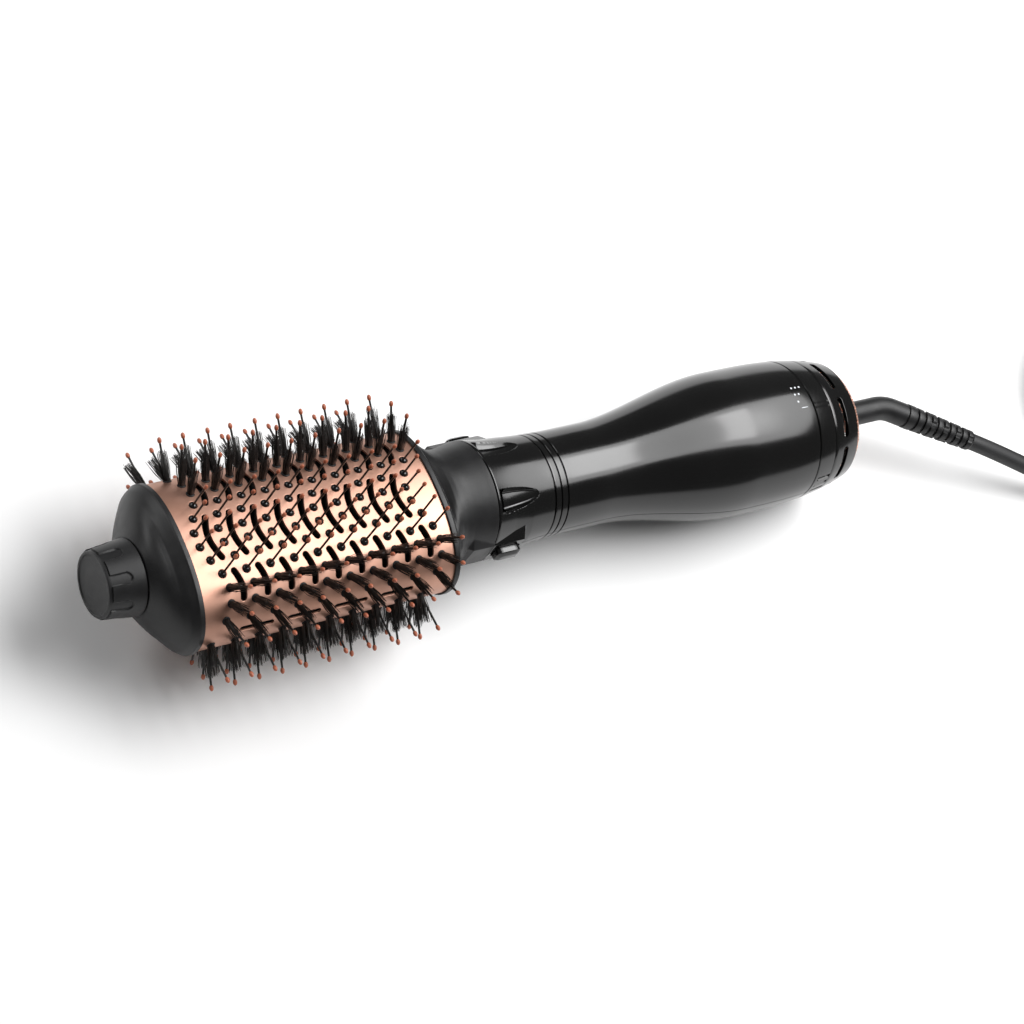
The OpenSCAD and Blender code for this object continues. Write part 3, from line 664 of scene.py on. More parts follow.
def makePins(c):
    g = barrelSettings["gap"]
    rows = [(waveX(r) + barrelSettings["pitch"] * i, s * r * g) for i in range(barrelSettings["columns"])
            for r in barrelSettings["faceRows"] for s in (1, -1)]
    rows = np.array(rows, float)
    y, z, ny, nz = ovalAt(rows[:, 1])
    at = np.stack([rows[:, 0], y, z], -1)
    up = np.tile([0.0, 0.0, 1.0], (len(at), 1))
    jitter = rng.normal(0, 0.006, (len(at), 2))
    up[:, :2] += jitter
    up /= np.linalg.norm(up, axis=1)[:, None]
    height = c["faceTop"] - z
    normal = np.stack([np.zeros(len(at)), ny, nz], -1)
    t = np.linspace(0, np.pi / 2, 6)
    bead = np.stack([c["bead"] * np.cos(t), 1.15 * np.sin(t) - 0.25], -1)[:-1]
    bead = np.concatenate([[(c["bead"], -0.9)], bead, [(0.3, 0.89)]])
    e = np.linspace(-np.pi / 2, np.pi / 2, 9)
    ball = np.stack([c["ballWide"] * np.cos(e).clip(0.05), c["ballLong"] * np.sin(e)], -1)
    for flip, name in ((1, "face_pins_top"), (-1, "face_pins_bottom")):
        turn = np.array([1, flip, flip])
        parts = [copies(bead, 16, at * turn, normal * turn)]
        shaft = np.stack([np.stack([np.full(len(at), c["shaft"])] * 2, -1),
                          np.stack([np.full(len(at), 0.0), height - 0.6], -1)], -1)
        parts.append(copies(shaft, 8, at * turn, up * turn))
        top = at * turn + (height[:, None] * up) * turn
        parts.append(copies(ball, 12, top, up * turn))
        join(name.replace("_", ""), parts, [beadBlack, nylonBlack, ballNylon], (name,), "pin_nylon")


def join(name, parts, finishes, nodes, slot):
    points, faces, finish, n = [], [], [], 0
    for k, (p, quads, tris) in enumerate(parts):
        points.append(p)
        faces += [quads + n, tris + n]
        finish += [k, k]
        n += len(p)
    return meshPiece(name, np.concatenate(points), faces, finishes, "brush_head", nodes=nodes, slot=slot,
                     faceFinish=finish, sharp=60)


def makeEdges(c):
    t = edgePlaces()
    y, z, ny, nz = ovalAt(t[:, 1])
    mirror = np.stack([np.ones(len(t)), np.ones(len(t)), t[:, 2]], -1)
    at = np.stack([t[:, 0], y, z], -1) * mirror
    normal = np.stack([np.zeros(len(t)), ny, nz], -1) * mirror
    # turning about x lowers a pin towards the edge's middle, turning about the side vector
    # that is square to the pin and to x draws its end towards the tip
    outX = np.tile([1.0, 0, 0], (len(t), 1))
    lowered = turnedAbout(normal, outX, -np.sign(normal[:, 2]) * t[:, 3])
    side = np.cross(lowered, outX)
    side /= np.linalg.norm(side, axis=1)[:, None]
    tuftDir = turnedAbout(lowered, side, -t[:, 4])
    mid = t[:, 5] > 0
    # the middle row's pins stand nearly straight out, apart from their tufts
    d = turnedAbout(normal[mid], outX[mid], np.full(mid.sum(), -c["midLow"]))
    midSide = np.cross(d, outX[mid])
    midSide /= np.linalg.norm(midSide, axis=1)[:, None]
    pinAt = np.concatenate([at[~mid], at[mid]])
    midTo = turnedAbout(d, midSide, np.full(mid.sum(), -c["midBack"]))
    pinTo = np.concatenate([tuftDir[~mid], midTo])
    pinTo = pinTo + rng.normal(0, 0.012, pinTo.shape)
    pinTo /= np.linalg.norm(pinTo, axis=1)[:, None]
    e = np.linspace(-np.pi / 2, np.pi / 2, 9)
    ball = np.stack([c["ballWide"] * np.cos(e).clip(0.05), c["ballLong"] * np.sin(e)], -1)
    shaft = [(c["shaft"], 0.5), (c["shaft"], c["edgeOut"] - 0.6)]
    socket = [(1.62, -0.9), (1.62, 0.1), (1.5, 0.3), (1.2, 0.32)]
    core = [(0.95, -0.5), (1.05, 3), (0.7, 8.2), (0.1, 8.4)]
    # filaments: an even scatter over the root, spread towards the tip, each bent a little
    k = c["filaments"]
    m = len(t)
    golden = np.arange(k) * 2.39996
    radius = np.sqrt((np.arange(k) + 0.5) / k)
    side, up = frames(tuftDir)
    side[mid] = outX[mid]
    side[mid] -= (side[mid] * tuftDir[mid]).sum(1, keepdims=True) * tuftDir[mid]
    side[mid] /= np.linalg.norm(side[mid], axis=1)[:, None]
    up[mid] = np.cross(tuftDir[mid], side[mid])
    spreadSide = np.where(mid, 2.5, 1.85)[:, None]
    spreadUp = np.where(mid, 1.3, 1.85)[:, None]
    ca, sa = (radius * np.cos(golden))[None], (radius * np.sin(golden))[None]
    root = at[:, None] + c["tuftRoot"] * (ca[..., None] * side[:, None] + sa[..., None] * up[:, None])
    wobble = rng.normal(0, 0.28, (m, k, 2))
    length = c["tuftLong"] * (1 - 0.05 * radius[None] ** 2) + rng.normal(0, 0.35, (m, k))
    tip = (at[:, None] + length[..., None] * tuftDir[:, None]
           + (ca * spreadSide + wobble[..., 0])[..., None] * side[:, None]
           + (sa * spreadUp + wobble[..., 1])[..., None] * up[:, None])
    middle = 0.5 * (root + tip) + (rng.normal(0, 0.12, (m, k, 1)) * side[:, None]
                                   + rng.normal(0, 0.12, (m, k, 1)) * up[:, None])
    middle += 0.25 * (ca[..., None] * side[:, None] + sa[..., None] * up[:, None])
    line = np.stack([root, middle, tip], 2).reshape(-1, 3, 3)
    w = np.linspace(0, 2 * np.pi, 3, endpoint=False)
    across = np.repeat(side, k, 0)[:, None, None]
    above = np.repeat(up, k, 0)[:, None, None]
    thick = np.array([1.0, 1.0, 0.65])[None, :, None, None] * c["filament"]
    hair = line[:, :, None] + thick * (np.cos(w)[:, None] * across + np.sin(w)[:, None] * above)
    grid = gridFaces(3, 3)
    shift = (np.arange(len(line)) * 9)[:, None, None]
    hairQuads = (grid[None] + shift).reshape(-1, 4)
    hairCaps = (np.array([[2, 1, 0], [6, 7, 8]])[None] + shift).reshape(-1, 3)
    for flip, sideName in ((1, "left"), (-1, "right")):
        turn = np.array([1, flip, flip])
        parts = [copies(socket, 14, at * turn, normal * turn),
                 copies(core, 8, at * turn, tuftDir * turn),
                 (hair.reshape(-1, 3) * turn, hairQuads, hairCaps)]
        join("edgeTufts" + sideName.title(), parts, [innerPlastic, filamentNylon, filamentNylon],
             ("edge_tufts_" + sideName,), "bristle")
        parts = [copies(shaft, 8, pinAt * turn, pinTo * turn),
                 copies(ball, 12, (pinAt + c["edgeOut"] * pinTo) * turn, pinTo * turn)]
        join("edgePins" + sideName.title(), parts, [nylonBlack, ballNylon],
             ("edge_pins_" + sideName,), "pin_nylon")


makePins(pinSettings)
makeEdges(pinSettings)
print("pins and tufts")


# ---- front cap, knob and collar ----
def loftRows(rows, radius, around=192):
    # rows of (x, circle radius, oval growth, share of the oval), with rounded corners, turned
    # into rings: (1 - share) * circle + share * grown oval
    rows = np.asarray(rows, float) * [1, 1, 1, 20]
    rows = roundedLine(rows, radius, 6)
    t = np.linspace(0, 2 * np.pi, around, endpoint=False)
    e = 2 / ovalSettings["power"]
    c, s = np.cos(t), np.sin(t)
    x, r, g, share = rows[:, 0:1], rows[:, 1:2], rows[:, 2:3], rows[:, 3:4] / 20
    y = (1 - share) * r * c + share * (ovalSettings["halfWidth"] + g) * np.sign(c) * np.abs(c) ** e
    z = (1 - share) * r * s + share * (ovalSettings["halfHeight"] + g) * np.sign(s) * np.abs(s) ** e
    return np.stack([np.repeat(x, around, 1), y, z], -1)


def loftPiece(name, rows, radius, finish, body, around=192, **more):
    p = loftRows(rows, radius, around)
    return meshPiece(name, p, [gridFaces(len(p), around, along=True)], finish, body, sharp=30, **more)


capSettings = {"rows": [(-14, 9.05, 0, 0), (-11, 9.05, 0, 0), (-8, 9.05, 0, 0), (-3, 18, -3.4, 0.8),
                        (0.2, 20, -2.4, 1), (0.2, 20, 0.8, 1), (-1.7, 20, 0.8, 1), (-2.1, 20, 0.45, 1),
                        (-4.4, 19.2, -0.6, 0.97), (-6.2, 18.3, -1.6, 0.84), (-7.8, 17.4, -1.6, 0.66),
                        (-9.4, 16.7, -1.2, 0.47), (-11.0, 16.0, -0.6, 0.27), (-12.5, 15.3, 0, 0.1),
                        (-13.85, 14.6, 0, 0), (-14.0, 14.3, 0, 0)],
               "radius": [0, 0.5, 1, 1, 0.3, 0.3, 0.2, 0.3, 0.8, 1, 1, 1, 1, 0.8, 0.1, 0]}
loftPiece("frontCap", capSettings["rows"], capSettings["radius"], mattePlastic, "brush_head",
          nodes=("front_cap",), slot="matte_black")

knobSettings = {"front": -28.4, "step": -27.1, "back": -14.35, "landHeight": 0.55, "fluteHalf": 1.95,
                "fluteEnd": -19.4, "flutes": 8, "turn": 22.5}


def makeKnob(c):
    # the side is a cone with lands: height * smooth(distance from the nearest flute's line),
    # the front a shallow dish inside a raised rim
    around = 288
    a = np.linspace(0, 2 * np.pi, around, endpoint=False)
    x = np.concatenate([np.linspace(c["step"] + 0.02, c["fluteEnd"] + 3, 44),
                        np.linspace(-16.2, c["back"] - 0.3, 6)])
    cone = 12.05 + (x - c["front"]) * 0.105
    step = np.radians(360 / c["flutes"])
    off = np.mod(a - np.radians(c["turn"]) + step / 2, step) - step / 2
    arc = off[None] * cone[:, None]
    past = np.clip(x - c["fluteEnd"] + c["fluteHalf"], 0, None)[:, None]
    gap = np.hypot(arc, past) - c["fluteHalf"]
    w = np.clip(gap / 0.3 + 0.5, 0, 1)
    r = cone[:, None] + c["landHeight"] * w * w * (3 - 2 * w)
    start = [(-27.95, 0.0), (-27.9, 6.0), (-27.85, 10.2), (-28.0, 10.7), (c["front"] + 0.05, 10.95),
             (c["front"], 11.1), (c["front"], 11.7), (c["front"] + 0.1, 11.92), (c["front"] + 0.35, 12.05),
             (c["step"], 12.16)]
    end = [(c["back"], 13.85), (c["back"] + 0.05, 13.3), (c["back"] + 0.3, 12.9), (c["back"] + 0.45, 0)]
    rows = [np.stack([np.full(around, q[0]), np.full(around, q[1])], -1) for q in start]
    rows += [np.stack([np.full(around, xi), ri], -1) for xi, ri in zip(x, r)]
    rows += [np.stack([np.full(around, q[0]), np.full(around, q[1])], -1) for q in end]
    rows = np.array(rows)
    p = np.stack([rows[..., 0], rows[..., 1] * np.cos(a), rows[..., 1] * np.sin(a)], -1)
    return meshPiece("tipKnob", p, [gridFaces(len(p), around)], mattePlastic, "brush_head",
                     nodes=("tip_knob",), slot="matte_black", sharp=32, merge=True)


makeKnob(knobSettings)

handleSettings = {"seam": 126.2, "waist": 19.6, "seamRadius": 23.4, "belly": 28.5, "bellyAt": 246.0,
                  "tail": 295.4, "scoopAt": 127.5, "scoopLong": 18.2,
                  "scoopHalf": 4.9, "scoopDeep": 2.7, "tongueAt": 130.2, "pitDeep": 4.6,
                  "scoopAngles": (60, 120, 240, 300), "grooves": (153.4, 156.4, 159.4),
                  "padTop": 22.2, "padHalf": 6.0, "padFront": 117.0, "padBack": 139.6,
                  "padLean": 0.7, "buttonAt": 133.4, "pocketDeep": 2.2}


def outside(x, c=handleSettings):
    # falls as a parabola to the waist, swells with a smooth step to the belly and closes
    # with a cube
    x = np.asarray(x, float)
    a = c["waist"] + (c["seamRadius"] - c["waist"]) * (1 - np.clip((x - c["seam"]) / 42, 0, 1)) ** 2
    t = np.clip((x - 181) / 62, 0, 1)
    b = c["waist"] + (c["belly"] - c["waist"]) * t * t * (3 - 2 * t)
    d = c["belly"] - 5 * ((x - c["bellyAt"]) / (c["tail"] - c["bellyAt"])).clip(0) ** 3
    return np.where(x < 175, a, np.where(x < c["bellyAt"], b, d))


def sideShape(x, a, r, c):
    # the sides are drawn in a little and carry a flat pad each: the plane |y| = padTop and
    # two chamfer planes beside it, which drop away past the front and back ends
    inside = np.clip((x - 113.5) / 3, 0, 1) * np.clip((143 - x) / 8, 0, 1)
    r = r - 0.9 * inside * np.cos(a) ** 6
    off = np.arcsin(np.abs(np.sin(a)).clip(0, 1))
    drop = np.clip(c["padFront"] - x, 0, None) * 0.8 + np.clip(x - c["padBack"], 0, None) * 1.4
    lean = c["padLean"]
    corner = c["padTop"] * math.cos(lean) + c["padHalf"] * math.sin(lean)
    pad = np.minimum(c["padTop"] / np.cos(off).clip(0.1), corner / np.cos(off - lean)) - drop
    return np.where(off < 0.6, np.maximum(r, pad), r)


def makeFlange(c):
    # the collar's circle is (x, radius), the rows before it blend from the oval
    rows = [(108, 18.35, 0, 0), (104.2, 20, -2.6, 1), (103.8, 20, 0.75, 1), (105.7, 20, 0.8, 1),
            (106.0, 20.2, 0.5, 1), (107.1, 20.6, -0.9, 0.9), (108.2, 21.0, -0.4, 0.6),
            (109.6, 21.3, 0, 0.3), (111.4, 21.5, 0, 0.1), (113.6, 21.6, 0, 0), (116, 21.8, 0, 0),
            (119, 22.2, 0, 0), (123, 22.8, 0, 0), (125.8, 23.3, 0, 0), (126.1, 23.0, 0, 0),
            (126.1, 18.35, 0, 0)]
    radius = [0, 0.3, 0.3, 0.15, 0.3, 0.6, 1, 1, 1, 1, 1, 1, 1, 0.1, 0.1, 0]
    p = loftRows(rows, radius, 360)
    x = p[:, :1, 0]
    r = np.hypot(p[..., 1], p[..., 2])
    a = np.arctan2(p[..., 2], p[..., 1])
    grow = np.where((r > 20.5) & (x > 112), sideShape(x, a, r, c) / r, 1)
    p[..., 1:] *= grow[..., None]
    return meshPiece("rearFlange", p, [gridFaces(len(p), p.shape[1], along=True)], mattePlastic,
                     "brush_head", nodes=("rear_flange",), slot="matte_black", sharp=22)


makeFlange(handleSettings)
print("caps")


# ---- handle ----
def closedSheet(outer, inner, around=False):
    # an outer and an inner grid of the same shape, joined along their borders
    m, n = outer.shape[:2]
    i, j = np.arange(m - 1), np.arange(n if around else n - 1)
    top = gridFaces(m, n, around=around)
    faces = [top, top[:, ::-1] + m * n]
    k = (j + 1) % n
    faces.append(np.stack([k, j, j + m * n, k + m * n], -1))
    last = (m - 1) * n
    faces.append(np.stack([last + j, last + k, last + k + m * n, last + j + m * n], -1))
    if not around:
        faces.append(np.stack([i * n, (i + 1) * n, (i + 1) * n + m * n, i * n + m * n], -1))
        e = n - 1
        faces.append(np.stack([(i + 1) * n + e, i * n + e, i * n + e + m * n, (i + 1) * n + e + m * n], -1))
    return np.concatenate([outer.reshape(-1, 3), inner.reshape(-1, 3)]), faces


def polar(x, r, a):
    x, r, a = np.broadcast_arrays(x, r, a)
    return np.stack([x, r * np.cos(a), r * np.sin(a)], -1)


def shellRadius(x, a, c):
    # the outside, raised to a pad at each side, cut by four bullet-shaped scoops (outline
    # half width * sqrt(1 - along^2), steep side walls, a deep pit at the front and then a
    # floor that rises to the tip) and by three narrow grooves
    r = sideShape(x, a, outside(x) + 0 * a, c)
    for centre in c["scoopAngles"]:
        off = np.mod(a - np.radians(centre) + np.pi, 2 * np.pi) - np.pi
        along = (x - c["scoopAt"]) / c["scoopLong"]
        g = np.sqrt(np.clip(1 - along ** 2, 1e-9, 1))
        across = np.abs(23 * np.sin(off) / (c["scoopHalf"] * g))
        inside = (along > 0) & (along < 1) & (np.abs(off) < 0.5) & (across < 1)
        wall = np.clip((1 - across) / 0.42, 0, 1)
        wall = 1 - (1 - wall) ** 2
        deep = np.where(x < c["tongueAt"], c["pitDeep"], c["scoopDeep"] * np.clip(g, 0, 1) ** 1.6)
        r = np.where(inside, r - deep * wall, r)
    for at in c["grooves"]:
        r = r - 0.55 * np.exp(-((x - at) / 0.3) ** 4)
    return r


def shellHalf(name, node, a0, x0, x1, xs, stepDeg, c, inner):
    dense = np.array([0, 0.12, 0.3, 0.6, 1.0])
    a = np.concatenate([dense, np.arange(1.0 + stepDeg, 179 - stepDeg / 2, stepDeg), 180 - dense[::-1]])
    a = np.radians(a + a0)
    x = np.concatenate([[x0], xs, [x1]])[:, None]
    r = shellRadius(x, a[None], c)
    # a fine parting line where the two shells meet, and a small chamfer at each end
    part = np.abs(np.sin(a))[None] * 23
    r = r - 0.14 * np.clip(1 - part / 0.16, 0, 1)
    r = (r - 0.25 * np.clip(1 - (x - x0) / 0.3, 0, 1) * (x0 < 130)
         - 0.3 * np.clip(1 - (x1 - x) / 0.3, 0, 1) * (x1 > 270))
    # window for the release button
    if x0 < 130:
        across = np.abs(23 * np.sin(a))[None]
        along = np.abs(x - c["buttonAt"])
        q = np.hypot(np.clip(across - 0.9, 0, None), np.clip(along - 3.0, 0, None))
        pocket = np.clip((2.75 - q) / 0.25, 0, 1)
        r = r - c["pocketDeep"] * pocket * (np.abs(np.cos(a))[None] > 0.9)
    outer = polar(x, r, a[None])
    return meshPiece(name, *closedSheet(outer, polar(x, inner + 0 * r, a[None])), glossPlastic, "handle",
                     nodes=(node,), slot="gloss_black", sharp=28)


def makeShells(c):
    front = np.concatenate([np.arange(126.5, 127.45, 0.3), [127.49, 127.52], np.arange(127.75, 130.1, 0.25),
                            [130.19, 130.22], np.arange(130.45, 147.0, 0.25),
                            np.arange(147.5, 152.8, 0.6), np.arange(152.95, 153.35, 0.1)])
    groove = lambda g: np.arange(g - 0.45, g + 0.5, 0.1)
    back = np.concatenate([np.arange(153.5, 153.9, 0.1), np.arange(154.3, 155.8, 0.5), groove(156.4),
                           np.arange(157.3, 158.8, 0.5), groove(159.4), np.arange(160.4, 272.2, 1.4),
                           [272.7, 272.85]])
    for name, node, a0 in (("upper", "upper_shell", 0), ("lower", "lower_shell", 180)):
        shellHalf(name + "ShellFront", node, a0, 126.3, 153.4, front, 0.45, c, 17.9)
        inner = np.interp(np.concatenate([[153.4], back, [272.98]]), [153, 188, 236, 262, 273],
                          [17.3, 17.3, 25.2, 25.2, 22.2])[:, None]
        shellHalf(name + "ShellBody", node, a0, 153.4, 272.98, back, 2.0, c, inner)
    # neck that the switch ring and the rear cap sit on
    turnedPiece("shellNeck", [(272.6, 22.2), (272.6, 23.8), (284.8, 23.8), (284.8, 22.2)],
                innerPlastic, "handle", slot="inner_black")


makeShells(handleSettings)


def makeButton(name, node, flip):
    # a pill with a flat top: rings of a rounded outline, smaller at the top by two facets
    around = 48
    a = np.linspace(0, 2 * np.pi, around, endpoint=False)
    e = 2 / 4.5
    cx, cy = np.sign(np.cos(a)) * np.abs(np.cos(a)) ** e, np.sign(np.sin(a)) * np.abs(np.sin(a)) ** e
    rows = [(21.3, 0, 0), (21.3, 5.2, 3.2), (24.0, 5.2, 3.2), (24.3, 5.1, 3.1), (25.1, 4.1, 2.0),
            (25.25, 3.7, 1.6), (25.3, 3.5, 1.4), (25.3, 0, 0)]
    centre = handleSettings["buttonAt"]
    p = np.array([[centre + l * cx, np.full(around, flip * h), w * cy] for h, l, w in rows])
    p = np.moveaxis(p, 1, 2)
    return meshPiece(name, p, [gridFaces(len(p), around)], glossPlastic, node, nodes=(node,),
                     slot="gloss_black", sharp=25, merge=True)


makeButton("releaseButtonLeft", "release_button_left", 1)
makeButton("releaseButtonRight", "release_button_right", -1)

ringSettings = {"pointer": (96.0, 100.0), "grips": (164.5, 172.0, 180.0), "bore": 24.15}


def makeSwitchRing(c):
    # the handle's outside with a chamfer at each edge, two fine pointer lines and three
    # deeper grip slots that run out at the rear edge
    x = np.concatenate([[273.35, 273.45, 273.6], np.arange(273.9, 281.2, 0.3),
                        [281.3, 281.42, 281.5]])[:, None]
    a = np.radians(np.arange(0, 360, 0.5))[None]
    r = outside(x) + 0 * a
    r = r - 0.35 * np.clip(1 - (x - 273.35) / 0.25, 0, 1) - 0.2 * np.clip(1 - (281.5 - x) / 0.2, 0, 1)
    arc = lambda d: np.abs(np.mod(a - math.radians(d) + np.pi, 2 * np.pi) - np.pi) * 27
    for d in c["pointer"]:
        r = r - 0.12 * np.clip(1 - arc(d) / 0.32, 0, 1) * (x > 274) * (x < 281)
    for d in c["grips"]:
        r = r - 1.1 * np.clip((0.85 - arc(d)) / 0.25, 0, 1) * np.clip((x - 274.9) / 0.3, 0, 1)
    sheet = closedSheet(polar(x, r, a), polar(x, c["bore"] + 0 * r, a), True)
    return meshPiece("switchRing", *sheet, glossPlastic, "switch_ring", nodes=("switch_ring",),
                     slot="gloss_black", sharp=28)


makeSwitchRing(ringSettings)

pipSettings = {"at": 268.4, "marks": ((79.9, 3), (86.2, 2), (92.6, 1), (98.2, 0)), "radius": 0.42}


def makePips(c):
    # printed dots, as many as the mode is strong, and a short bar for the rest position
    n, outlines = 0, []
    a = np.linspace(0, 2 * np.pi, 16, endpoint=False)
    for angle, count in c["marks"]:
        for k in range(count):
            outlines.append((c["at"] - 1.9 + 1.9 * k, angle, c["radius"], c["radius"]))
        if not count:
            outlines.append((c["at"], angle, 1.7, 0.16))
    points, faces = [], []
    for x, angle, long, wide in outlines:
        px = x + long * np.cos(a)
        pa = np.radians(angle) + wide * np.sin(a) / 27
        for depth in (-0.03, 0.03):
            points.append(polar(px, outside(px) + depth, pa))
        ring = np.arange(16)
        faces.append(np.stack([ring, np.roll(ring, -1), np.roll(ring, -1) + 16, ring + 16], -1) + n)
        n += 32
    caps = np.concatenate([f + 32 * k for k in range(len(outlines))
                           for f in (capFaces(np.arange(16)[::-1]), capFaces(np.arange(16) + 16))])
    return meshPiece("modePips", np.concatenate(points), [np.concatenate(faces), caps], printWhite,
                     "handle", slot="gloss_black", flat=True)


makePips(pipSettings)
print("handle")


# ---- rear cap, mesh and swivel ----
rearSettings = {"wall": 1.7, "start": 281.72, "end": 294.2, "ventAt": 287.6, "ventDegrees": 36.5,
                "ventHalf": 1.25, "vents": 8}


def makeRearCap(c):
    nominal = 25.5
    sector = 2 * np.pi / c["vents"]
    half = math.radians(c["ventDegrees"] / 2) * nominal - c["ventHalf"]
    line = np.stack([np.full(13, c["ventAt"]), np.linspace(-half, half, 13)], -1)

    def place(u, v, depth):
        r = outside(u) - depth - 0.18 * np.clip(1 - (u - c["start"]) / 0.2, 0, 1) * (depth < 0.01)
        return polar(u, r, v / nominal)

    span = sector * nominal / 2
    points, skins, wall, edge = perforated((c["start"], c["end"], -span, span), [(line, c["ventHalf"])],
                                           0.7, c["wall"], place, bevel=0.22)
    straight = np.abs(points[edge[:, 0], 0] - points[edge[:, 3], 0]) < 1e-6
    faces = skins + [wall, edge[straight]]
    n, everything = len(points), []
    for k in range(c["vents"]):
        t = math.radians(22.5) + k * sector
        m = np.array([[1, 0, 0], [0, math.cos(t), -math.sin(t)], [0, math.sin(t), math.cos(t)]])
        everything.append(points @ m.T)
    faces = [np.concatenate([f + k * n for k in range(c["vents"])]) for f in faces]
    meshPiece("rearCap", np.concatenate(everything), faces, glossPlastic, "handle", nodes=("rear_cap",),
              slot="gloss_black", sharp=30, merge=True)
    rimLine = roundedLine([(c["end"], outside(c["end"]) - c["wall"]), (c["end"], outside(c["end"])),
                           (294.75, outside(294.75)), (294.9, 23.1), (294.6, 21.0), (c["end"], 21.0)],
                          [0, 0, 0.2, 0.2, 0.2, 0], 6)
    turnedPiece("rearRim", rimLine, glossPlastic, "handle", around=192, sharp=40, slot="gloss_black")


makeRearCap(rearSettings)

meshSettings = {"profile": [(8.4, 300.2), (12, 299.9), (16, 299.2), (19, 298.2), (21.4, 296.9),
                            (22.6, 295.6), (23.0, 294.7)],
                "pitch": 1.05, "hole": 8.3, "wire": 0.2, "step": 0.35, "turn": 32.0}


def makeWovenMesh(c):
    # two sets of parallel wires over a dome x(r); each wire rises and dips by its own radius,
    # sin(pi * along / pitch), a half wave out of step with its neighbours
    prof = np.array(c["profile"])
    rMax = prof[-1, 0] - 0.15
    points, quads, caps, n = [], [], [], 0
    lines = np.arange(-int(rMax / c["pitch"]), int(rMax / c["pitch"]) + 1)
    for family in (0, 1):
        for k in lines:
            off = (k + 0.5) * c["pitch"]
            if abs(off) > rMax - 0.3:
                continue
            end = math.sqrt(rMax ** 2 - off ** 2)
            pieces = [(-end, end)]
            if abs(off) < c["hole"]:
                gapHalf = math.sqrt(c["hole"] ** 2 - off ** 2)
                pieces = [(-end, -gapHalf), (gapHalf, end)]
            for s0, s1 in pieces:
                if s1 - s0 < 0.6:
                    continue
                s = np.linspace(s0, s1, max(3, int((s1 - s0) / c["step"]) + 1))
                r = np.hypot(s, off)
                x = np.interp(r, prof[:, 0], prof[:, 1])
                sign = 1 if family else -1
                x = x + sign * c["wire"] * np.sin(np.pi * (s / c["pitch"] + k))
                y, z = (s, np.full_like(s, off)) if family else (np.full_like(s, off), s)
                t = math.radians(c["turn"])
                line = np.stack([x, y * math.cos(t) - z * math.sin(t),
                                 y * math.sin(t) + z * math.cos(t)], -1)
                ring = tube(line, c["wire"], 5)
                m = len(line)
                points.append(ring.reshape(-1, 3))
                quads.append(gridFaces(m, 5, start=n))
                caps.append(capFaces(np.arange(5)[::-1] + n))
                caps.append(capFaces((m - 1) * 5 + np.arange(5) + n))
                n += m * 5
    return meshPiece("intakeMesh", np.concatenate(points), [np.concatenate(quads), np.concatenate(caps)],
                     roseWire, "handle", nodes=("filter_mesh",), slot="rose_mesh")


makeWovenMesh(meshSettings)
meshRim = roundedLine([(294.3, 21.2), (294.3, 22.9), (295.2, 23.0), (295.4, 22.6), (295.0, 21.2)],
                      [0, 0.1, 0.2, 0.2, 0], 6)
turnedPiece("intakeMeshRim", meshRim, roseWire, "handle", around=192, slot="rose_mesh")
turnedPiece("cordHub", roundedLine([(291, 5.0), (291, 8.6), (300.2, 8.6), (302.9, 7.7), (303, 5.0)],
                                   [0, 0.2, 0.5, 0.8, 0], 7), mattePlastic, "handle", around=96,
            nodes=("cord_hub",), slot="matte_black", sharp=40)

elbowSettings = {"thin": 4.65, "thick": 4.85, "thickFrom": 306.1, "bendAt": 327.0, "bendRadius": 16.0,
                 "bend": 30.0, "roll": 12.0, "reliefAt": 9.5, "reliefLong": 32.0}


def beyondBend(p, c=elbowSettings):
    # carries points from the brush's axis round the bend: shift, turn by the bend about an
    # upright line one bend radius away, shift back and roll
    p = np.asarray(p, float) + [0, c["bendRadius"], 0]
    b, r = -math.radians(c["bend"]), math.radians(c["roll"])
    x, y, z = p[..., 0], p[..., 1], p[..., 2]
    x, y = x * math.cos(b) - y * math.sin(b), x * math.sin(b) + y * math.cos(b)
    y = y - c["bendRadius"]
    y, z = y * math.cos(r) - z * math.sin(r), y * math.sin(r) + z * math.cos(r)
    start = c["bendAt"] - c["bendRadius"] * math.tan(math.radians(c["bend"] / 2))
    return np.stack([x + start, y, z], -1)


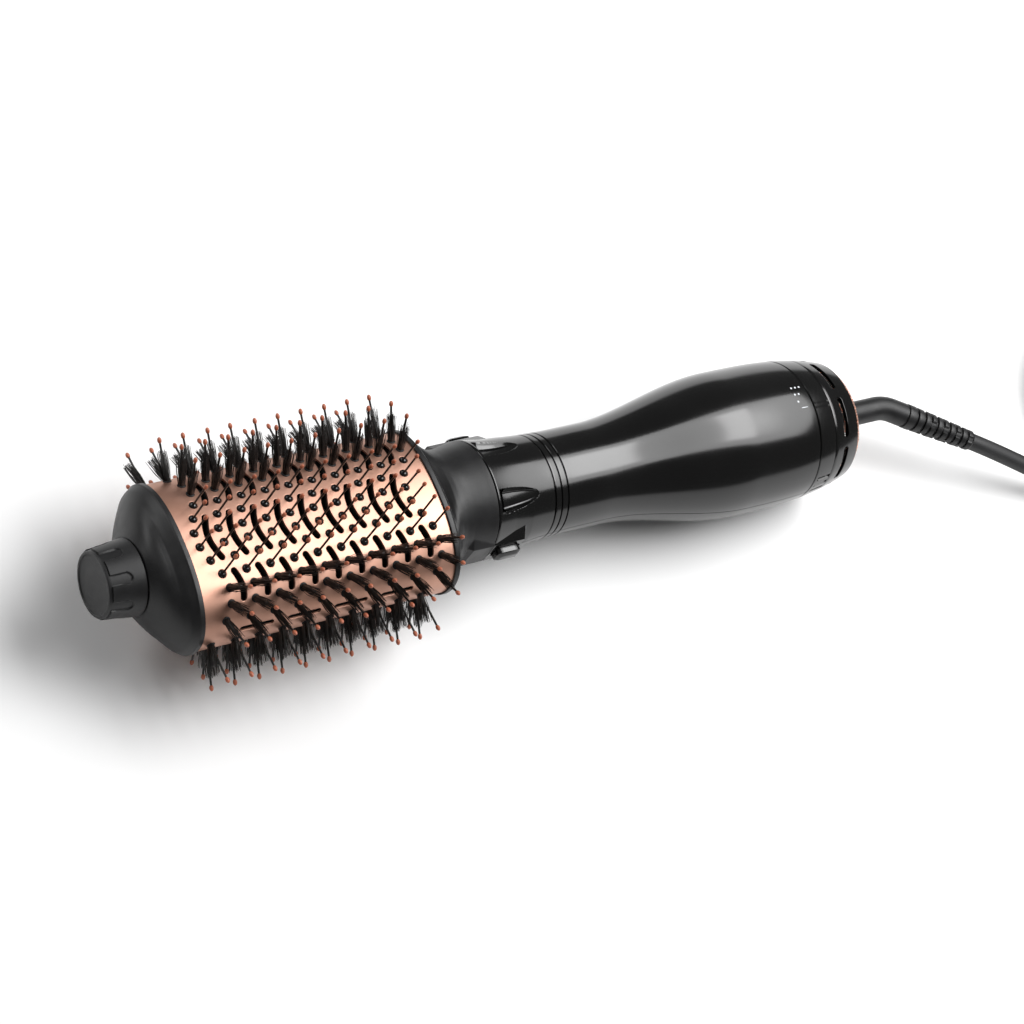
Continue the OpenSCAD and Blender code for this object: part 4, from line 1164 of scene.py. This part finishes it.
def makeElbow(c):
    # a tube along a straight, an arc and a straight, with a small step up in radius part of
    # the way along the first straight
    tan = c["bendRadius"] * math.tan(math.radians(c["bend"] / 2))
    start = c["bendAt"] - tan
    x = np.concatenate([np.linspace(288, 305.9, 8), [306.0, 306.15], np.linspace(308, start, 8)])
    straight = np.stack([x, 0 * x, 0 * x], -1)
    t = np.radians(np.linspace(0, c["bend"], 14))[1:]
    r = math.radians(c["roll"])
    yz = -(1 - np.cos(t)) * c["bendRadius"]
    arc = np.stack([start + c["bendRadius"] * np.sin(t), yz * math.cos(r), yz * math.sin(r)], -1)
    reliefX = c["reliefAt"] - tan
    end = beyondBend(np.stack([np.linspace(0.8, reliefX + 0.2, 6), np.zeros(6), np.zeros(6)], -1))
    path = np.concatenate([straight, arc, end])
    radius = np.where(path[:, 0] < c["thickFrom"], c["thin"], c["thick"])
    tubePiece("swivelElbow", path, radius[:, None] * np.ones(32), mattePlastic, "cord_swivel", sides=32,
              nodes=("cord_elbow",), slot="cord_rubber")
    # strain relief: a wide ring, a windowed ring and ribs that get smaller along the cord
    rows = [(0.0, 0.0), (0.0, 4.3), (1.1, 4.3), (1.15, 5.0), (4.5, 5.0), (4.6, 3.9), (5.6, 3.9),
            (5.7, 4.9), (8.2, 4.85)]
    x, r0 = 8.2, 4.9
    while x < c["reliefLong"] - 2.2:
        rows += [(x + 0.05, r0 - 1.0), (x + 1.0, r0 - 1.02), (x + 1.05, r0), (x + 3.05, r0 - 0.04)]
        x += 3.05
        r0 -= 0.11
    rows += [(x + 0.6, 3.75), (x + 0.6, 0.0)]
    prof = np.array(rows)
    line = np.concatenate([prof[:1], roundedLine(prof[1:-1], 0.16, 4), prof[-1:]])
    p = turned(np.stack([line[:, 0] + reliefX, line[:, 1]], -1), 48)
    a = np.arctan2(p[..., 2], p[..., 1])
    # slot windows of every second rib, on alternate sides
    for k in range(8):
        at = 9.2 + 3.05 * k + 1.0
        here = np.abs(p[..., 0] - reliefX - at) < 1.15
        away = np.abs(np.mod(a - (k % 2) * np.pi / 2 - 0.3 + np.pi / 2, np.pi) - np.pi / 2)
        rr = np.hypot(p[..., 1], p[..., 2])
        cut = here & (away < 0.3) & (rr > 4.0)
        p[..., 1:] *= np.where(cut, 3.75 / np.maximum(rr, 1e-6), 1)[..., None]
    p = beyondBend(p)
    meshPiece("strainRelief", p, [gridFaces(len(p), 48)], mattePlastic, "cord_swivel",
              nodes=("strain_relief",), slot="cord_rubber", sharp=35, merge=True)


makeElbow(elbowSettings)
print("rear")


# ---- floor and light ----
def makeFloor():
    material = bpy.data.materials.new("paleFloor")
    material.use_nodes = True
    tree = material.node_tree
    tree.nodes.clear()
    # pale painted board: nearly white, quite matt, with a very slight unevenness
    place = add(tree, "TexCoord")
    noise = add(tree, "TexNoise", {"Scale": 9.0, "Detail": 3.0}, {"Vector": (place, "Object")})
    ramp = stops(add(tree, "ValToRGB", {}, {"Fac": (noise, "Fac")}), [(0.35, "F1F1F1"), (0.65, "F5F5F5")])
    shader = add(tree, "BsdfPrincipled", {"Roughness": 0.75}, {"Base Color": (ramp, "Color")})
    add(tree, "OutputMaterial", {}, {"Surface": (shader, "BSDF")})
    mesh = bpy.data.meshes.new("floor")
    mesh.from_pydata([(-6, -6, 0), (6, -6, 0), (6, 6, 0), (-6, 6, 0)], [], [(0, 1, 2, 3)])
    mesh.materials.append(material)
    floor = bpy.data.objects.new("floor", mesh)
    bpy.context.scene.collection.objects.link(floor)


makeFloor()


def softBox(name, at, aim, size, watts):
    # a rectangular area light in brush millimetres, turned so that it faces its aim
    a, b = lay(at) / 1000, lay(aim) / 1000
    data = bpy.data.lights.new(name, "AREA")
    data.shape, data.size, data.size_y, data.energy = "RECTANGLE", size[0], size[1], watts
    lamp = bpy.data.objects.new(name, data)
    bpy.context.scene.collection.objects.link(lamp)
    look = Vector((b - a).tolist()).to_track_quat("-Z", "Y")
    lamp.rotation_euler = look.to_euler()
    lamp.location = a


# one wide box past the cord end gives the handle its broad streak and a smaller one just in
# front of it the brighter middle; a weak box past the tip, on the far side, fills the rest
lightSettings = [("wideBox", (820, -20, 1150), (150, 0, 0), (1.3, 0.95), 21),
                 ("coreBox", (820, 0, 1130), (150, 0, 0), (0.9, 0.4), 7),
                 ("backBox", (-500, 900, 700), (120, 0, 0), (1.0, 0.3), 5)]
for box in lightSettings:
    softBox(*box)
world = bpy.data.worlds.new("world")
bpy.context.scene.world = world
world.use_nodes = True
sky = world.node_tree.nodes["Background"].inputs
sky["Color"].default_value = (1.0, 1.0, 1.0, 1.0)
sky["Strength"].default_value = 0.16
bpy.context.scene.view_settings.view_transform = "Standard"
